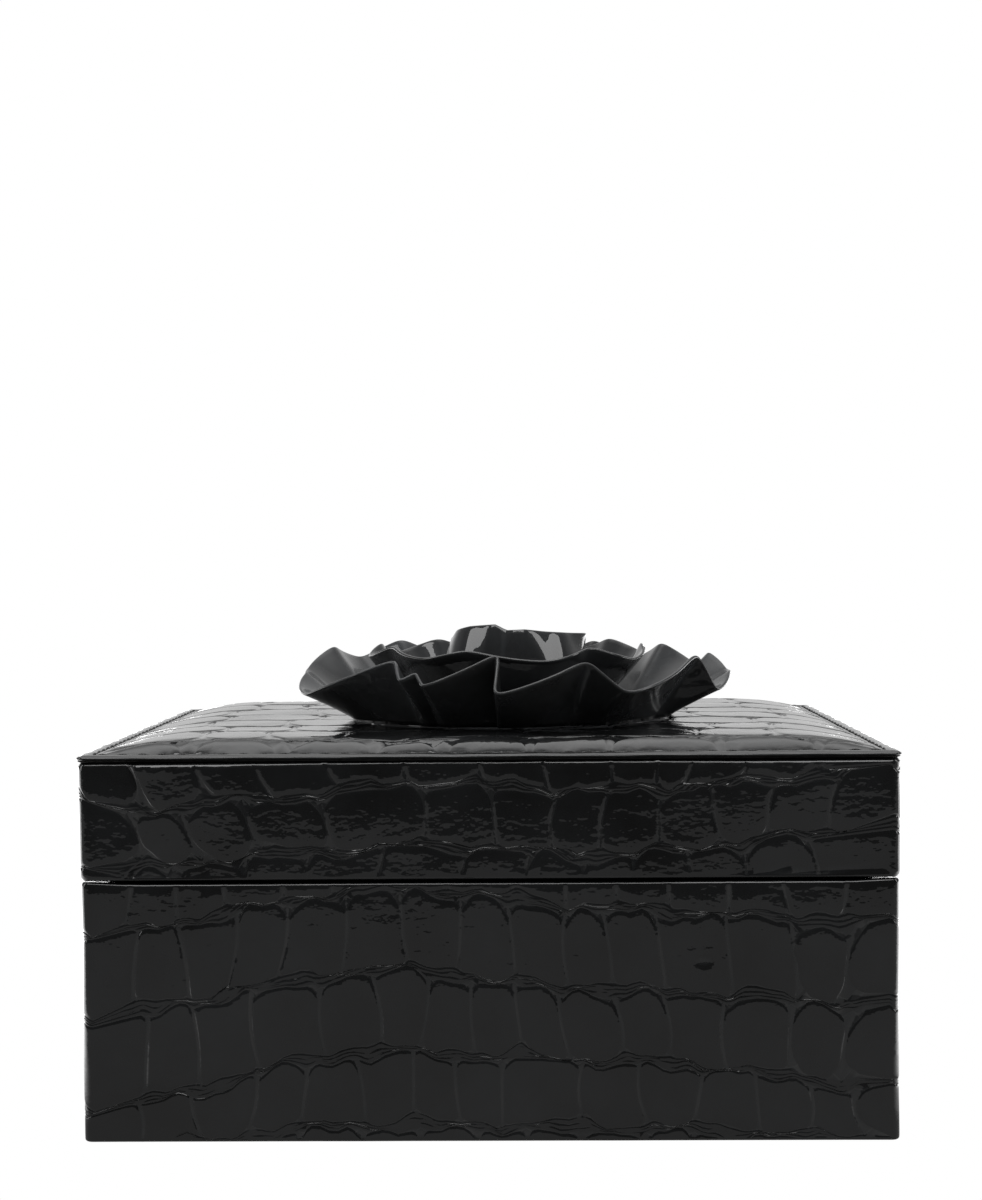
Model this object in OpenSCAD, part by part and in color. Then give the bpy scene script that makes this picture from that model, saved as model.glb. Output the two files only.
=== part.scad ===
// Jewelry gift box: a board box wrapped in patent leather, with a hinged lid,
// a lift-out tray and a leather flower on the lid.
// The origin is the centre of the underside, +X is the box's right, +Y its back.

/* [Box] */
// Width over the wrapped sides
box_w = 202; // [170:1:260]
// Depth over the wrapped sides, front to back
box_d = 151.2; // [130:0.2:200]
// Height of the base, from the table to its rim
base_h = 65; // [56:1:90]
// Height of the lid, from its rim to the edge of its top panel
lid_h = 31.2; // [29:0.2:45]
// Gap between the two rims when the lid is shut
rim_gap = 0.8; // [0.6:0.1:1.2]
// Radius of the upright corners
corner_r = 2; // [1.5:0.1:4]

/* [Boards and covers] */
// Thickness of the side boards
board_t = 5; // [4:0.5:7]
// Thickness of the bottom board and of the lid's top board
plate_t = 4; // [3:0.5:6]
// Thickness of the patent wrap
wrap_t = 0.8; // [0.6:0.1:1]
// Thickness of the felt under the base
felt_t = 1.2; // [1:0.1:2]
// Thickness of the velvet-covered card inside the walls
lining_t = 1.2; // [0.8:0.1:2]
// Thickness of the velvet-covered card on the base's floor
floor_pad_t = 2; // [1:0.5:3]

/* [Lid top] */
// How far the top panel stands out past the sides
panel_lip = 0.6; // [0.3:0.1:1]
// Thickness of the top panel at its edge
panel_t = 2; // [1.6:0.1:3]
// Height of the groove between the side wrap and the top panel
groove_h = 0.6; // [0.4:0.1:1]
// How far the middle of the padded field stands above the panel's edge
crown_h = 3.2; // [1.5:0.1:4.5]
// Distance over which the padded field rises to its full height
crown_slope = 24; // [16:1:28]
// Distance of the stitch line from the panel's edge
stitch_inset = 3.6; // [3:0.1:5]

/* [Mirror] */
// Width of the mirror
mirror_w = 158; // [100:1:160]
// Height of the mirror when the lid is open
mirror_d = 106; // [60:1:108]
// Thickness of the mirror
mirror_t = 1.8; // [1.5:0.1:3]

/* [Tray] */
// Height of the tray
tray_h = 22; // [18:1:26]
// How far the tray's top lies below the base's rim
tray_drop = 2.5; // [1:0.5:5]
// Thickness of the tray's velvet-covered rails
rail_t = 3; // [2:0.5:4]
// Width of the ring section, as a share of the tray
ring_share = 0.46; // [0.35:0.01:0.6]
// Number of ring rolls
rolls = 8; // [5:1:10]
// Width of the ribbon pulls
ribbon_w = 14; // [10:1:20]

/* [Hinges] */
// Distance of each hinge from the middle of the box
hinge_x = 62; // [35:1:64]
// Width of a hinge
hinge_w = 24; // [20:1:32]
// Radius of the hinge knuckles
knuckle_r = 2; // [1.8:0.1:2.4]
// Radius of the hinge pins
pin_r = 0.95; // [0.8:0.05:1]

/* [Flower] */
// How far the flower's centre lies to the right of the lid's centre
flower_x = 5; // [-10:1:10]
// Radius of the outer ruffle at its edge
flower_r = 61; // [48:1:64]
// Height of the bud above the padded field
bud_h = 28.4; // [25:0.2:34]
// Thickness of the petal leather
petal_t = 1.1; // [0.8:0.1:1.6]

/* [Hidden] */
$fn = 48;

patent = [0.05, 0.05, 0.055];
board = [0.62, 0.5, 0.36];
velvet = [0.3, 0.29, 0.29];
brass = [0.8, 0.66, 0.36];

// Footprints, from the outside in
core_w = box_w - 2 * wrap_t;
core_d = box_d - 2 * wrap_t;
core_r = corner_r - wrap_t;
inner_w = core_w - 2 * board_t;
inner_d = core_d - 2 * board_t;
room_w = inner_w - 2 * lining_t;
room_d = inner_d - 2 * lining_t;
panel_w = box_w + 2 * panel_lip;
panel_d = box_d + 2 * panel_lip;

// Heights in the base
floor_z = felt_t + plate_t;
pad_top = floor_z + floor_pad_t;
tray_z = base_h - tray_drop - tray_h;

// Heights in the lid
lid_z = base_h + rim_gap;
lid_top = lid_z + lid_h;
panel_z = lid_top - panel_t;
lid_board_z = panel_z - plate_t;
field_top = lid_top + crown_h;

// Velvet pile stands slightly proud of both rims
pile_h = 0.25;
// Clearance that parts keep where one moves past the other
clear = 0.3;
// Depth that a cutter runs past a face
cut = 1;

// Hinge: its pin lies behind the back face, level with the middle of the gap
back_y = box_d / 2;
pin_y = back_y + knuckle_r + clear;
pin_z = base_h + rim_gap / 2;
leaf_len = board_t + wrap_t - 0.4;
leaf_t = wrap_t;
outer_knuckle_w = hinge_w * 0.3;
tail_len = 3.2;
tail_angle = 50;
screw_x = hinge_w / 2 - 4;
screw_y = back_y - wrap_t - board_t / 2;
screw_r = 0.9;
screw_head_r = 1.6;
screw_len = 8;

// Tray
tray_w = room_w - 1.4;
tray_d = room_d - 1.4;
tray_floor_t = 2.5;
tray_pad_t = 1;
tray_in_w = tray_w - 2 * rail_t;
tray_in_d = tray_d - 2 * rail_t;
tray_in_z = tray_z + tray_floor_t + tray_pad_t;
divider_t = 2.5;
divider_x = -tray_in_w / 2 + tray_in_w * ring_share;
ledge_t = 4;

// A rectangle with rounded corners, centred on the origin
module rounded_rect(w, d, r) {
    square([w - 2 * r, d], center = true);
    square([w, d - 2 * r], center = true);
    for (sx = [-1, 1], sy = [-1, 1])
        translate([sx * (w / 2 - r), sy * (d / 2 - r)]) circle(r);
}

// A plate with rounded upright corners, standing on height z
module plate(w, d, r, z, h) {
    translate([0, 0, z]) linear_extrude(h) rounded_rect(w, d, r);
}

// An upright rectangular ring, standing on height z
module ring(w, d, r, in_w, in_d, z, h) {
    translate([0, 0, z]) linear_extrude(h) difference() {
        rounded_rect(w, d, r);
        square([in_w, in_d], center = true);
    }
}

// A block centred in X and Y, standing on its base point
module block(size, at) {
    translate(at - [size.x / 2, size.y / 2, 0]) cube(size);
}

// The front or back board: it runs the full width, with rounded outer corners
module long_board(side, z, h) {
    intersection() {
        plate(core_w, core_d, core_r, z, h);
        block([core_w, board_t, h], [0, side * (core_d - board_t) / 2, z]);
    }
}

// The left or right board: it stands between the front and the back board
module short_board(side, z, h) {
    block([board_t, inner_d, h], [side * (core_w - board_t) / 2, 0, z]);
}

// Runs its children at both hinges
module each_hinge() {
    for (side = [-1, 1]) translate([side * hinge_x, 0, 0]) children();
}

// The four upright holes for the hinge screws in one rim
module screw_holes(r, z, h) {
    each_hinge() for (sx = [-1, 1])
        translate([sx * screw_x, screw_y, z]) cylinder(r = r, h = h);
}

// The two pockets in a rim where the hinge leaves lie
module leaf_pockets(z) {
    each_hinge() translate([-hinge_w / 2, back_y - leaf_len, z])
        cube([hinge_w, leaf_len + cut, leaf_t]);
}

module base_felt() {
    color("dimgray") plate(box_w - 4, box_d - 4, corner_r, 0, felt_t);
}

module base_bottom_board() {
    color(board) plate(core_w, core_d, core_r, felt_t, plate_t);
}

base_board_h = base_h - wrap_t - floor_z;

module base_front_board() {
    color(board) long_board(-1, floor_z, base_board_h);
}

module base_back_board() {
    color(board) difference() {
        long_board(1, floor_z, base_board_h);
        screw_holes(screw_r, base_h - wrap_t - screw_len, screw_len + cut);
    }
}

module base_left_board() {
    color(board) short_board(-1, floor_z, base_board_h);
}

module base_right_board() {
    color(board) short_board(1, floor_z, base_board_h);
}

// The patent band round the base, turned in over its rim
module base_wrap() {
    band_z = felt_t / 2;
    color(patent) difference() {
        plate(box_w, box_d, corner_r, band_z, base_h - band_z);
        plate(core_w, core_d, core_r, band_z - cut, base_h - wrap_t - band_z + cut);
        block([inner_w, inner_d, base_h], [0, 0, cut]);
        leaf_pockets(base_h - leaf_t);
    }
}

module base_side_lining() {
    color(velvet) ring(inner_w, inner_d, 0.5, room_w, room_d, floor_z,
        base_h + pile_h - floor_z);
}

module base_floor_pad() {
    color(velvet) block([room_w, room_d, floor_pad_t], [0, 0, floor_z]);
}

// The two strips that carry the tray's ends
module tray_ledges() {
    color(velvet) for (side = [-1, 1])
        block([ledge_t, room_d, tray_z - 0.2 - pad_top],
            [side * (room_w - ledge_t) / 2, 0, pad_top]);
}

// One hinge leaf with its knuckles and its stop tail. up is 1 for the lid's leaf
// and -1 for the base's; spans holds [start, width] of its knuckles along X.
module hinge_leaf(up, spans) {
    leaf_z = up * rim_gap / 2 + (up < 0 ? -leaf_t : 0);
    plate_front = back_y - leaf_len - pin_y;
    reach = -(knuckle_r + pin_r + 0.05) / 2;
    tail_z = up < 0 ? -leaf_t : 0;
    translate([0, pin_y, pin_z]) difference() {
        union() {
            translate([-hinge_w / 2, plate_front, leaf_z])
                cube([hinge_w, back_y - pin_y - plate_front, leaf_t]);
            rotate([up * tail_angle, 0, 0])
                translate([-hinge_w / 2, knuckle_r + clear, tail_z])
                    cube([hinge_w, tail_len, leaf_t]);
            for (s = spans) {
                translate([s[0], 0, 0]) rotate([0, 90, 0]) cylinder(r = knuckle_r, h = s[1]);
                translate([s[0], plate_front, leaf_z]) cube([s[1], reach - plate_front, leaf_t]);
                rotate([up * tail_angle, 0, 0]) translate([s[0], -reach, tail_z])
                    cube([s[1], knuckle_r + clear + reach + 0.5, leaf_t]);
            }
        }
        for (s = spans) translate([s[0] - cut, 0, 0]) rotate([0, 90, 0])
            cylinder(r = pin_r + 0.05, h = s[1] + 2 * cut);
        for (sx = [-1, 1])
            translate([sx * screw_x, screw_y - pin_y, leaf_z - cut])
                cylinder(r = screw_head_r + 0.05, h = leaf_t + 2 * cut);
    }
}

module hinge_base_leaves() {
    color(brass) each_hinge() hinge_leaf(-1, [
        [-hinge_w / 2, outer_knuckle_w],
        [hinge_w / 2 - outer_knuckle_w, outer_knuckle_w]
    ]);
}

module hinge_lid_leaves() {
    middle_w = hinge_w - 2 * outer_knuckle_w - 2 * clear;
    color(brass) each_hinge() hinge_leaf(1, [[-middle_w / 2, middle_w]]);
}

// A plain pin with a low button at each end
module hinge_pins() {
    button_r = 1.5;
    button_h = 0.8;
    color(brass) each_hinge() translate([0, pin_y, pin_z]) rotate([0, 90, 0]) {
        cylinder(r = pin_r, h = hinge_w, center = true);
        for (side = [-1, 1])
            translate([0, 0, side * (hinge_w + button_h) / 2])
                cylinder(r = button_r, h = button_h, center = true);
    }
}

// A small flush-headed screw pointing down from its head's top
module screw() {
    head_h = leaf_t - 0.1;
    translate([0, 0, -head_h]) cylinder(r = screw_head_r, h = head_h);
    translate([0, 0, -screw_len]) cylinder(r = screw_r - 0.05, h = screw_len - head_h + 0.1);
}

module hinge_base_screws() {
    color(brass) each_hinge() for (sx = [-1, 1])
        translate([sx * screw_x, screw_y, base_h]) screw();
}

module hinge_lid_screws() {
    color(brass) each_hinge() for (sx = [-1, 1])
        translate([sx * screw_x, screw_y, lid_z]) mirror([0, 0, 1]) screw();
}

lid_board_h = lid_board_z - lid_z - wrap_t;

module lid_front_board() {
    color(board) long_board(-1, lid_z + wrap_t, lid_board_h);
}

module lid_back_board() {
    color(board) difference() {
        long_board(1, lid_z + wrap_t, lid_board_h);
        screw_holes(screw_r, lid_z, screw_len + wrap_t);
    }
}

module lid_left_board() {
    color(board) short_board(-1, lid_z + wrap_t, lid_board_h);
}

module lid_right_board() {
    color(board) short_board(1, lid_z + wrap_t, lid_board_h);
}

module lid_top_board() {
    color(board) plate(core_w, core_d, core_r, lid_board_z, plate_t);
}

// The patent band round the lid, turned in over its rim
module lid_wrap() {
    band_h = lid_h - panel_t - groove_h;
    color(patent) difference() {
        plate(box_w, box_d, corner_r, lid_z, band_h);
        plate(core_w, core_d, core_r, lid_z + wrap_t, band_h);
        block([inner_w, inner_d, band_h], [0, 0, lid_z - cut]);
        leaf_pockets(lid_z);
    }
}

field_inset = stitch_inset + 1;

// The padded field's bevelled shape, with its foot on height z
module field(inset, z, h) {
    hull() {
        plate(panel_w - 2 * inset, panel_d - 2 * inset, corner_r, z, 0.1);
        plate(panel_w - 2 * (inset + crown_slope), panel_d - 2 * (inset + crown_slope),
            corner_r, z + h - 0.1, 0.1);
    }
}

module lid_padding() {
    color("beige") {
        plate(panel_w - 2 * field_inset - 2, panel_d - 2 * field_inset - 2, corner_r,
            panel_z, panel_t - wrap_t);
        field(field_inset + 1, lid_top - wrap_t - 0.1, crown_h);
    }
}

// The padded patent panel: a stiff turned edge round a raised field
module lid_top_panel() {
    color(patent) difference() {
        union() {
            plate(panel_w, panel_d, corner_r, panel_z, panel_t);
            field(field_inset, lid_top - 0.1, crown_h + 0.1);
        }
        plate(panel_w - 2 * field_inset - 2, panel_d - 2 * field_inset - 2, corner_r,
            panel_z - cut, panel_t - wrap_t + cut);
        field(field_inset + 1, lid_top - wrap_t - 0.1, crown_h);
    }
}

// The run of thread round the panel, just inside its edge
module lid_stitching() {
    thread_w = 0.6;
    out_w = panel_w - 2 * stitch_inset + thread_w;
    out_d = panel_d - 2 * stitch_inset + thread_w;
    color(patent) ring(out_w, out_d, corner_r, out_w - 2 * thread_w, out_d - 2 * thread_w,
        lid_top, thread_w / 2);
}

surround_lip = 1;
mirror_z = lid_board_z - mirror_t;

module lid_side_lining() {
    color(velvet) ring(inner_w, inner_d, 0.5, room_w, room_d, lid_z - pile_h,
        lid_board_z - lid_z + pile_h);
}

module mirror_glass() {
    color("silver") plate(mirror_w, mirror_d, 3, mirror_z, mirror_t);
}

// The velvet-covered frame that holds the mirror by a lip over its edges
module mirror_surround() {
    lip_w = 2;
    color(velvet) difference() {
        block([room_w, room_d, mirror_t + surround_lip], [0, 0, mirror_z - surround_lip]);
        plate(mirror_w, mirror_d, 3, mirror_z, mirror_t + cut);
        plate(mirror_w - 2 * lip_w, mirror_d - 2 * lip_w, 3, mirror_z - surround_lip - cut,
            surround_lip + 2 * cut);
    }
}

// Places its children at the flower's centre on the lid
module on_lid() {
    translate([flower_x, 0, field_top]) children();
}

backing_t = 1.2;
strip_rows = 4;
steps_per_pleat = 4;

// A pleated, flared strip rises from a gathered foot to a zig-zag edge, and its folds
// deepen towards the edge. strip_point gives one side of its leather.
function pleat_wave(i) = [0, 1, 0, -1][i % steps_per_pleat];
function strip_point(i, row, inside, foot_r, edge_r, rise, swing, pleats) =
    let (turn = 360 * i / (pleats * steps_per_pleat),
        share = row / strip_rows,
        slope = atan2(rise, edge_r - foot_r),
        r = foot_r + (edge_r - foot_r) * pow(share, 0.8) - inside * petal_t * sin(slope),
        z = rise * share + swing * share * pleat_wave(i) + inside * petal_t * cos(slope))
    [r * cos(turn), r * sin(turn), z];

module pleated_strip(foot_r, edge_r, rise, swing, pleats) {
    count = pleats * steps_per_pleat;
    rows = strip_rows + 1;
    points = [
        for (inside = [0, 1], row = [0 : strip_rows], i = [0 : count - 1])
            strip_point(i, row, inside, foot_r, edge_r, rise, swing, pleats)
    ];
    function at(inside, row, i) = (inside * rows + row) * count + i % count;
    sides = [
        for (row = [0 : strip_rows - 1], i = [0 : count - 1]) each [
            [at(0, row, i), at(0, row + 1, i + 1), at(0, row, i + 1)],
            [at(0, row, i), at(0, row + 1, i), at(0, row + 1, i + 1)],
            [at(1, row, i), at(1, row, i + 1), at(1, row + 1, i + 1)],
            [at(1, row, i), at(1, row + 1, i + 1), at(1, row + 1, i)]
        ]
    ];
    edges = [
        for (i = [0 : count - 1]) each [
            [at(0, 0, i), at(0, 0, i + 1), at(1, 0, i + 1)],
            [at(0, 0, i), at(1, 0, i + 1), at(1, 0, i)],
            [at(0, strip_rows, i), at(1, strip_rows, i + 1), at(0, strip_rows, i + 1)],
            [at(0, strip_rows, i), at(1, strip_rows, i), at(1, strip_rows, i + 1)]
        ]
    ];
    polyhedron(points, concat(sides, edges), convexity = 10);
}

module flower_backing() {
    color(patent) on_lid() cylinder(r = flower_r * 0.7, h = backing_t);
}

module flower_outer_ruffle() {
    color(patent) on_lid()
        pleated_strip(flower_r * 0.755, flower_r, flower_r * 0.26, flower_r * 0.08, 12);
}

module flower_middle_ruffle() {
    color(patent) on_lid() translate([0, 0, backing_t])
        pleated_strip(flower_r * 0.36, flower_r * 0.64, bud_h * 0.62, flower_r * 0.04, 8);
}

// One turn of the rolled bud, as a flared tube
module bud_turn(foot_r, edge_r, h) {
    waist_r = foot_r + (edge_r - foot_r) * 0.4;
    rotate_extrude() polygon([
        [foot_r, 0], [waist_r, h * 0.55], [edge_r, h],
        [edge_r - petal_t, h], [waist_r - petal_t, h * 0.55], [foot_r - petal_t, 0]
    ]);
}

module flower_bud() {
    turn_h = bud_h - backing_t;
    color(patent) on_lid() translate([0, 0, backing_t]) {
        bud_turn(14, 19, turn_h);
        bud_turn(9.5, 13, turn_h * 0.95);
        cylinder(r1 = 4, r2 = 6.5, h = turn_h * 0.85);
    }
}

module tray_floor() {
    color(velvet) block([tray_w, tray_d, tray_floor_t], [0, 0, tray_z]);
}

rail_z = tray_z + tray_floor_t;
rail_h = tray_h - tray_floor_t;

// A tray rail along the front or the back
module long_rail(side) {
    block([tray_w, rail_t, rail_h], [0, side * (tray_d - rail_t) / 2, rail_z]);
}

// A tray rail along the left or the right, between the long rails
module short_rail(side) {
    block([rail_t, tray_in_d, rail_h], [side * (tray_w - rail_t) / 2, 0, rail_z]);
}

module tray_front_rail() {
    color(velvet) long_rail(-1);
}

module tray_back_rail() {
    color(velvet) long_rail(1);
}

module tray_left_rail() {
    color(velvet) short_rail(-1);
}

module tray_right_rail() {
    color(velvet) short_rail(1);
}

module tray_floor_pad() {
    color(velvet) block([tray_in_w, tray_in_d, tray_pad_t], [0, 0, rail_z]);
}

divider_h = tray_z + tray_h - tray_in_z - 1;

// The wall between the ring rolls and the compartments
module tray_long_divider() {
    color(velvet) block([divider_t, tray_in_d, divider_h], [divider_x, 0, tray_in_z]);
}

// The two walls that part the right-hand compartments
module tray_cross_dividers() {
    from_x = divider_x + divider_t / 2;
    span = tray_in_w / 2 - from_x;
    color(velvet) for (side = [-1, 1])
        block([span, divider_t, divider_h],
            [from_x + span / 2, side * tray_in_d / 6, tray_in_z]);
}

ribbon_room = 4;
ribbon_t = 2.4;

// Foam rolls with round tops, side by side; rings are pressed in between them
module ring_rolls() {
    from_x = -tray_in_w / 2 + ribbon_room;
    span = divider_x - divider_t / 2 - from_x;
    pitch = tray_in_d / rolls;
    roll_r = pitch / 2 - 0.2;
    color(velvet) for (i = [0 : rolls - 1])
        translate([from_x, -tray_in_d / 2 + (i + 0.5) * pitch, tray_in_z]) {
            translate([0, -roll_r, 0]) cube([span, 2 * roll_r, roll_r]);
            translate([0, 0, roll_r]) rotate([0, 90, 0]) cylinder(r = roll_r, h = span);
        }
}

// The folded ribbon pulls at the tray's two ends
module tray_ribbons() {
    color("black") for (side = [-1, 1])
        block([ribbon_t, ribbon_w, tray_h - tray_floor_t - tray_pad_t + 1.5],
            [side * (tray_in_w / 2 - ribbon_t / 2 - 0.2), 0, tray_in_z]);
}

base_felt();
base_bottom_board();
base_front_board();
base_back_board();
base_left_board();
base_right_board();
base_wrap();
base_side_lining();
base_floor_pad();
tray_ledges();
hinge_base_leaves();
hinge_pins();
hinge_base_screws();
lid_front_board();
lid_back_board();
lid_left_board();
lid_right_board();
lid_top_board();
lid_wrap();
lid_padding();
lid_top_panel();
lid_stitching();
lid_side_lining();
mirror_glass();  // mirror
mirror_surround();
hinge_lid_leaves();
hinge_lid_screws();
flower_backing();
flower_outer_ruffle();
flower_middle_ruffle();
flower_bud();
tray_floor();
tray_front_rail();
tray_back_rail();
tray_left_rail();
tray_right_rail();
tray_floor_pad();
tray_long_divider();
tray_cross_dividers();
ring_rolls();
tray_ribbons();
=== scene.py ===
import math

import bpy
import numpy as np
from mathutils import Matrix, Vector


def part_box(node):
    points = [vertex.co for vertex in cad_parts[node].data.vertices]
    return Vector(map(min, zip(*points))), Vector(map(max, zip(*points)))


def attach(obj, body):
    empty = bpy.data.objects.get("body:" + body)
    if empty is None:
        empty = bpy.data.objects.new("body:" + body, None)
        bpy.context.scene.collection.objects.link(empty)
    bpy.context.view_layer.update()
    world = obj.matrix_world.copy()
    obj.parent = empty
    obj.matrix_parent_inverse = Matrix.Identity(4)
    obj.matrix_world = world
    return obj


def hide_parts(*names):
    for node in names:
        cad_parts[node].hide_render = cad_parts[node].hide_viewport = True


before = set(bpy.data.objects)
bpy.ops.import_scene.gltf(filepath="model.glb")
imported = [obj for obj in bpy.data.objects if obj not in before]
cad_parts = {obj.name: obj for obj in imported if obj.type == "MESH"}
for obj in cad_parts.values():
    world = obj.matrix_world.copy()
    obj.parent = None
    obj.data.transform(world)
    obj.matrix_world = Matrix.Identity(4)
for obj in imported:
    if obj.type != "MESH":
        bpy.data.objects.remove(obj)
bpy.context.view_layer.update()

# Shapes are worked out in millimetres, in the CAD's frame; meshes are made in metres.
MM = 0.001
# How many waves make up a surface's unevenness
WAVE_COUNT = 10


def cad_box(node):
    """Lowest and highest corner of a CAD node, in millimetres."""
    lo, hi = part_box(node)
    return np.array(lo) / MM, np.array(hi) / MM


BASE_LO, BASE_HI = cad_box("base_wrap")
LID_LO, LID_HI = cad_box("lid_wrap")
PANEL_LO, PANEL_HI = cad_box("lid_top_panel")
BOARD_HI = cad_box("base_front_board")[1]
STITCH_HI = cad_box("lid_stitching")[1]
BACKING_LO, BACKING_HI = cad_box("flower_backing")
HALF_X = BASE_HI[0]
HALF_Y = BASE_HI[1]
CORNER_R = 2.0
CROWN_H = 3.2
WRAP_T = HALF_X - BOARD_HI[0]
RIM_IN = HALF_Y + BOARD_HI[1]
PERIMETER = 4 * (HALF_X + HALF_Y)
PANEL_Z = PANEL_HI[2] - CROWN_H
FLOWER_X = (BACKING_LO[0] + BACKING_HI[0]) / 2
FLOWER_Z = BACKING_LO[2]


# ---- meshes

def grid_faces(index, closed=False):
    """Quads between the neighbouring rows and columns of a grid of vertex numbers."""
    rows = index if not closed else np.concatenate([index, index[:, :1]], axis=1)
    a, b = rows[:-1, :-1], rows[:-1, 1:]
    c, d = rows[1:, 1:], rows[1:, :-1]
    return np.stack([a, b, c, d], axis=-1).reshape(-1, 4)


def tidy_faces(points, faces):
    """Drops repeated corners and empty faces, and points that no face uses."""
    kept = []
    for face in faces.tolist() if isinstance(faces, np.ndarray) else faces:
        corners = [v for i, v in enumerate(face) if v != face[i - 1]]
        if len(set(corners)) >= 3:
            kept.append(corners)
    used = sorted({v for face in kept for v in face})
    number = {v: i for i, v in enumerate(used)}
    return points[used], [[number[v] for v in face] for face in kept]


def placed(name, data):
    """A new object in the scene."""
    made = bpy.data.objects.new(name, data)
    bpy.context.scene.collection.objects.link(made)
    return made


def add_piece(name, points, faces, look, body, nodes=(), slot=None):
    """Makes a mesh piece from points in millimetres, and puts it on its CAD body."""
    mesh = bpy.data.meshes.new(name)
    mesh.from_pydata((np.asarray(points) * MM).tolist(), [], [list(f) for f in faces])
    mesh.materials.append(look)
    mesh.update()
    mesh.polygons.foreach_set("use_smooth", [True] * len(mesh.polygons))
    piece = placed(name, mesh)
    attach(piece, body)
    if nodes:
        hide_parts(*nodes)
    return piece


def join(parts):
    """One list of points and faces from several."""
    points, faces, start = [], [], 0
    for part_points, part_faces in parts:
        points.append(np.asarray(part_points, float))
        faces += [[v + start for v in face] for face in part_faces]
        start += len(part_points)
    return np.concatenate(points), faces


# ---- paths round the box

TANGENTS = np.array([[1, 0], [0, 1], [-1, 0], [0, -1]], float)
NORMALS = np.array([[0, -1], [1, 0], [0, 1], [-1, 0]], float)
CORNERS = np.array([[-1, -1], [1, -1], [1, 1], [-1, 1]], float)


def turned(vectors, angle):
    """Two-dimensional vectors turned by angles in radians."""
    c, s = np.cos(angle), np.sin(angle)
    return np.stack(
        [vectors[..., 0] * c - vectors[..., 1] * s, vectors[..., 0] * s + vectors[..., 1] * c], axis=-1
    )


def round_box(side_place, half_x, half_y, radius, out=0.0):
    """Points on a rounded rectangle. The whole part of side_place is the side, counted from
    the front, and its fraction is the place along it; out is the distance past the surface."""
    place = np.asarray(side_place, float) % 4
    out = np.broadcast_to(np.asarray(out, float), place.shape)
    side = np.minimum(place.astype(int), 3)
    length = np.where(side % 2 == 0, 2 * half_x, 2 * half_y)
    along = (place - side) * length
    half = np.array([half_x, half_y])
    start = CORNERS[side] * half
    tangent, normal = TANGENTS[side], NORMALS[side]
    to_end = length - along
    angle = np.where(along < radius, -(1 - along / radius), 0.0)
    angle = np.where(to_end < radius, 1 - to_end / radius, angle) * math.pi / 4
    facing = turned(normal, angle)
    at_start = start + (tangent - normal) * radius
    at_end = start + tangent * (length - radius)[..., None] - normal * radius
    straight = start + tangent * along[..., None] - normal * radius
    centre = np.where((along < radius)[..., None], at_start, straight)
    centre = np.where((to_end < radius)[..., None], at_end, centre)
    surface = centre + facing * radius
    moved = centre + facing * (radius + out)[..., None]
    room = np.stack([half_x + out, half_y + out], axis=-1)
    clamped = np.clip(surface, -room, room)
    return np.where((out < 0.2 - radius)[..., None], clamped, moved), facing


def side_place(along, half_x, half_y):
    """A distance along the sharp perimeter, from the front left corner, as a side and a fraction."""
    width, depth = 2 * half_x, 2 * half_y
    along = np.asarray(along, float) % (2 * (width + depth))
    ends = np.array([0, width, width + depth, 2 * width + depth, 2 * (width + depth)])
    side = np.clip(np.searchsorted(ends, along, side="right") - 1, 0, 3)
    return side + (along - ends[side]) / (ends[side + 1] - ends[side])


def ring_places(step, half_x, half_y, radius):
    """Places round a rounded rectangle, close together on its corners."""
    places = []
    for side in range(4):
        length = 2 * (half_x if side % 2 == 0 else half_y)
        bend = np.array([0, 0.25, 0.5, 0.75]) * radius
        count = max(int((length - 2 * radius) / step), 1)
        straight = np.linspace(radius, length - radius, count + 1)
        places += list(side + np.concatenate([bend, straight, length - bend[:0:-1]]) / length)
    return np.array(places)


def sweep(profile, places, half_x, half_y, radius):
    """A closed band round a rounded rectangle; profile holds (inset, height) rows."""
    layers = []
    for inset, height in profile:
        flat, _ = round_box(places, half_x, half_y, radius, -np.broadcast_to(inset, places.shape))
        layers.append(np.column_stack([flat, np.broadcast_to(height, places.shape)]))
    points = np.concatenate(layers)
    index = np.arange(len(points)).reshape(len(profile), len(places))
    return tidy_faces(points, grid_faces(index, closed=True))


def smooth_curve(points, period=None):
    """A smooth curve through (place, value) points, closed where a period is given."""
    xs, ys = np.array(points, float).T
    if period:
        xs = np.concatenate([xs[-3:] - period, xs, xs[:3] + period])
        ys = np.concatenate([ys[-3:], ys, ys[:3]])
    slopes = np.gradient(ys, xs)

    def value(s):
        s = np.asarray(s, float) % period if period else np.asarray(s, float)
        i = np.clip(np.searchsorted(xs, s) - 1, 0, len(xs) - 2)
        width = xs[i + 1] - xs[i]
        f = np.clip((s - xs[i]) / width, 0, 1)
        rise = ys[i] * (1 + 2 * f) * (1 - f) ** 2 + ys[i + 1] * f * f * (3 - 2 * f)
        return rise + width * f * (1 - f) * (slopes[i] * (1 - f) - slopes[i + 1] * f)

    return value


def waves(points, amount, shortest, longest, seed):
    """Smooth, seeded unevenness at points in space, in millimetres."""
    draw = np.random.default_rng(seed)
    total = np.zeros(points.shape[:-1])
    for _ in range(WAVE_COUNT):
        direction = draw.normal(size=3)
        direction /= np.linalg.norm(direction)
        length = draw.uniform(shortest, longest)
        total += np.sin(points @ direction * 2 * math.pi / length + draw.uniform(0, 2 * math.pi))
    return total * amount / math.sqrt(WAVE_COUNT / 2)


# ---- embossed crocodile hide

# Half the width of the groove between two scales
GAP = 0.34
# Distances of a scale's mesh lines from its border, and of those on one of the box's corners
STEPS = np.array([0, 0.17, 0.38, 0.75, 1.5, 3.0])
BEND_STEPS = np.array([-2.7, -2, -1.5, -1, -0.5, 0, 0.5, 1, 1.5, 2, 2.7])
# How close to a corner of the box the lines of a border may come
BEND_ROOM = 3
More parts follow.
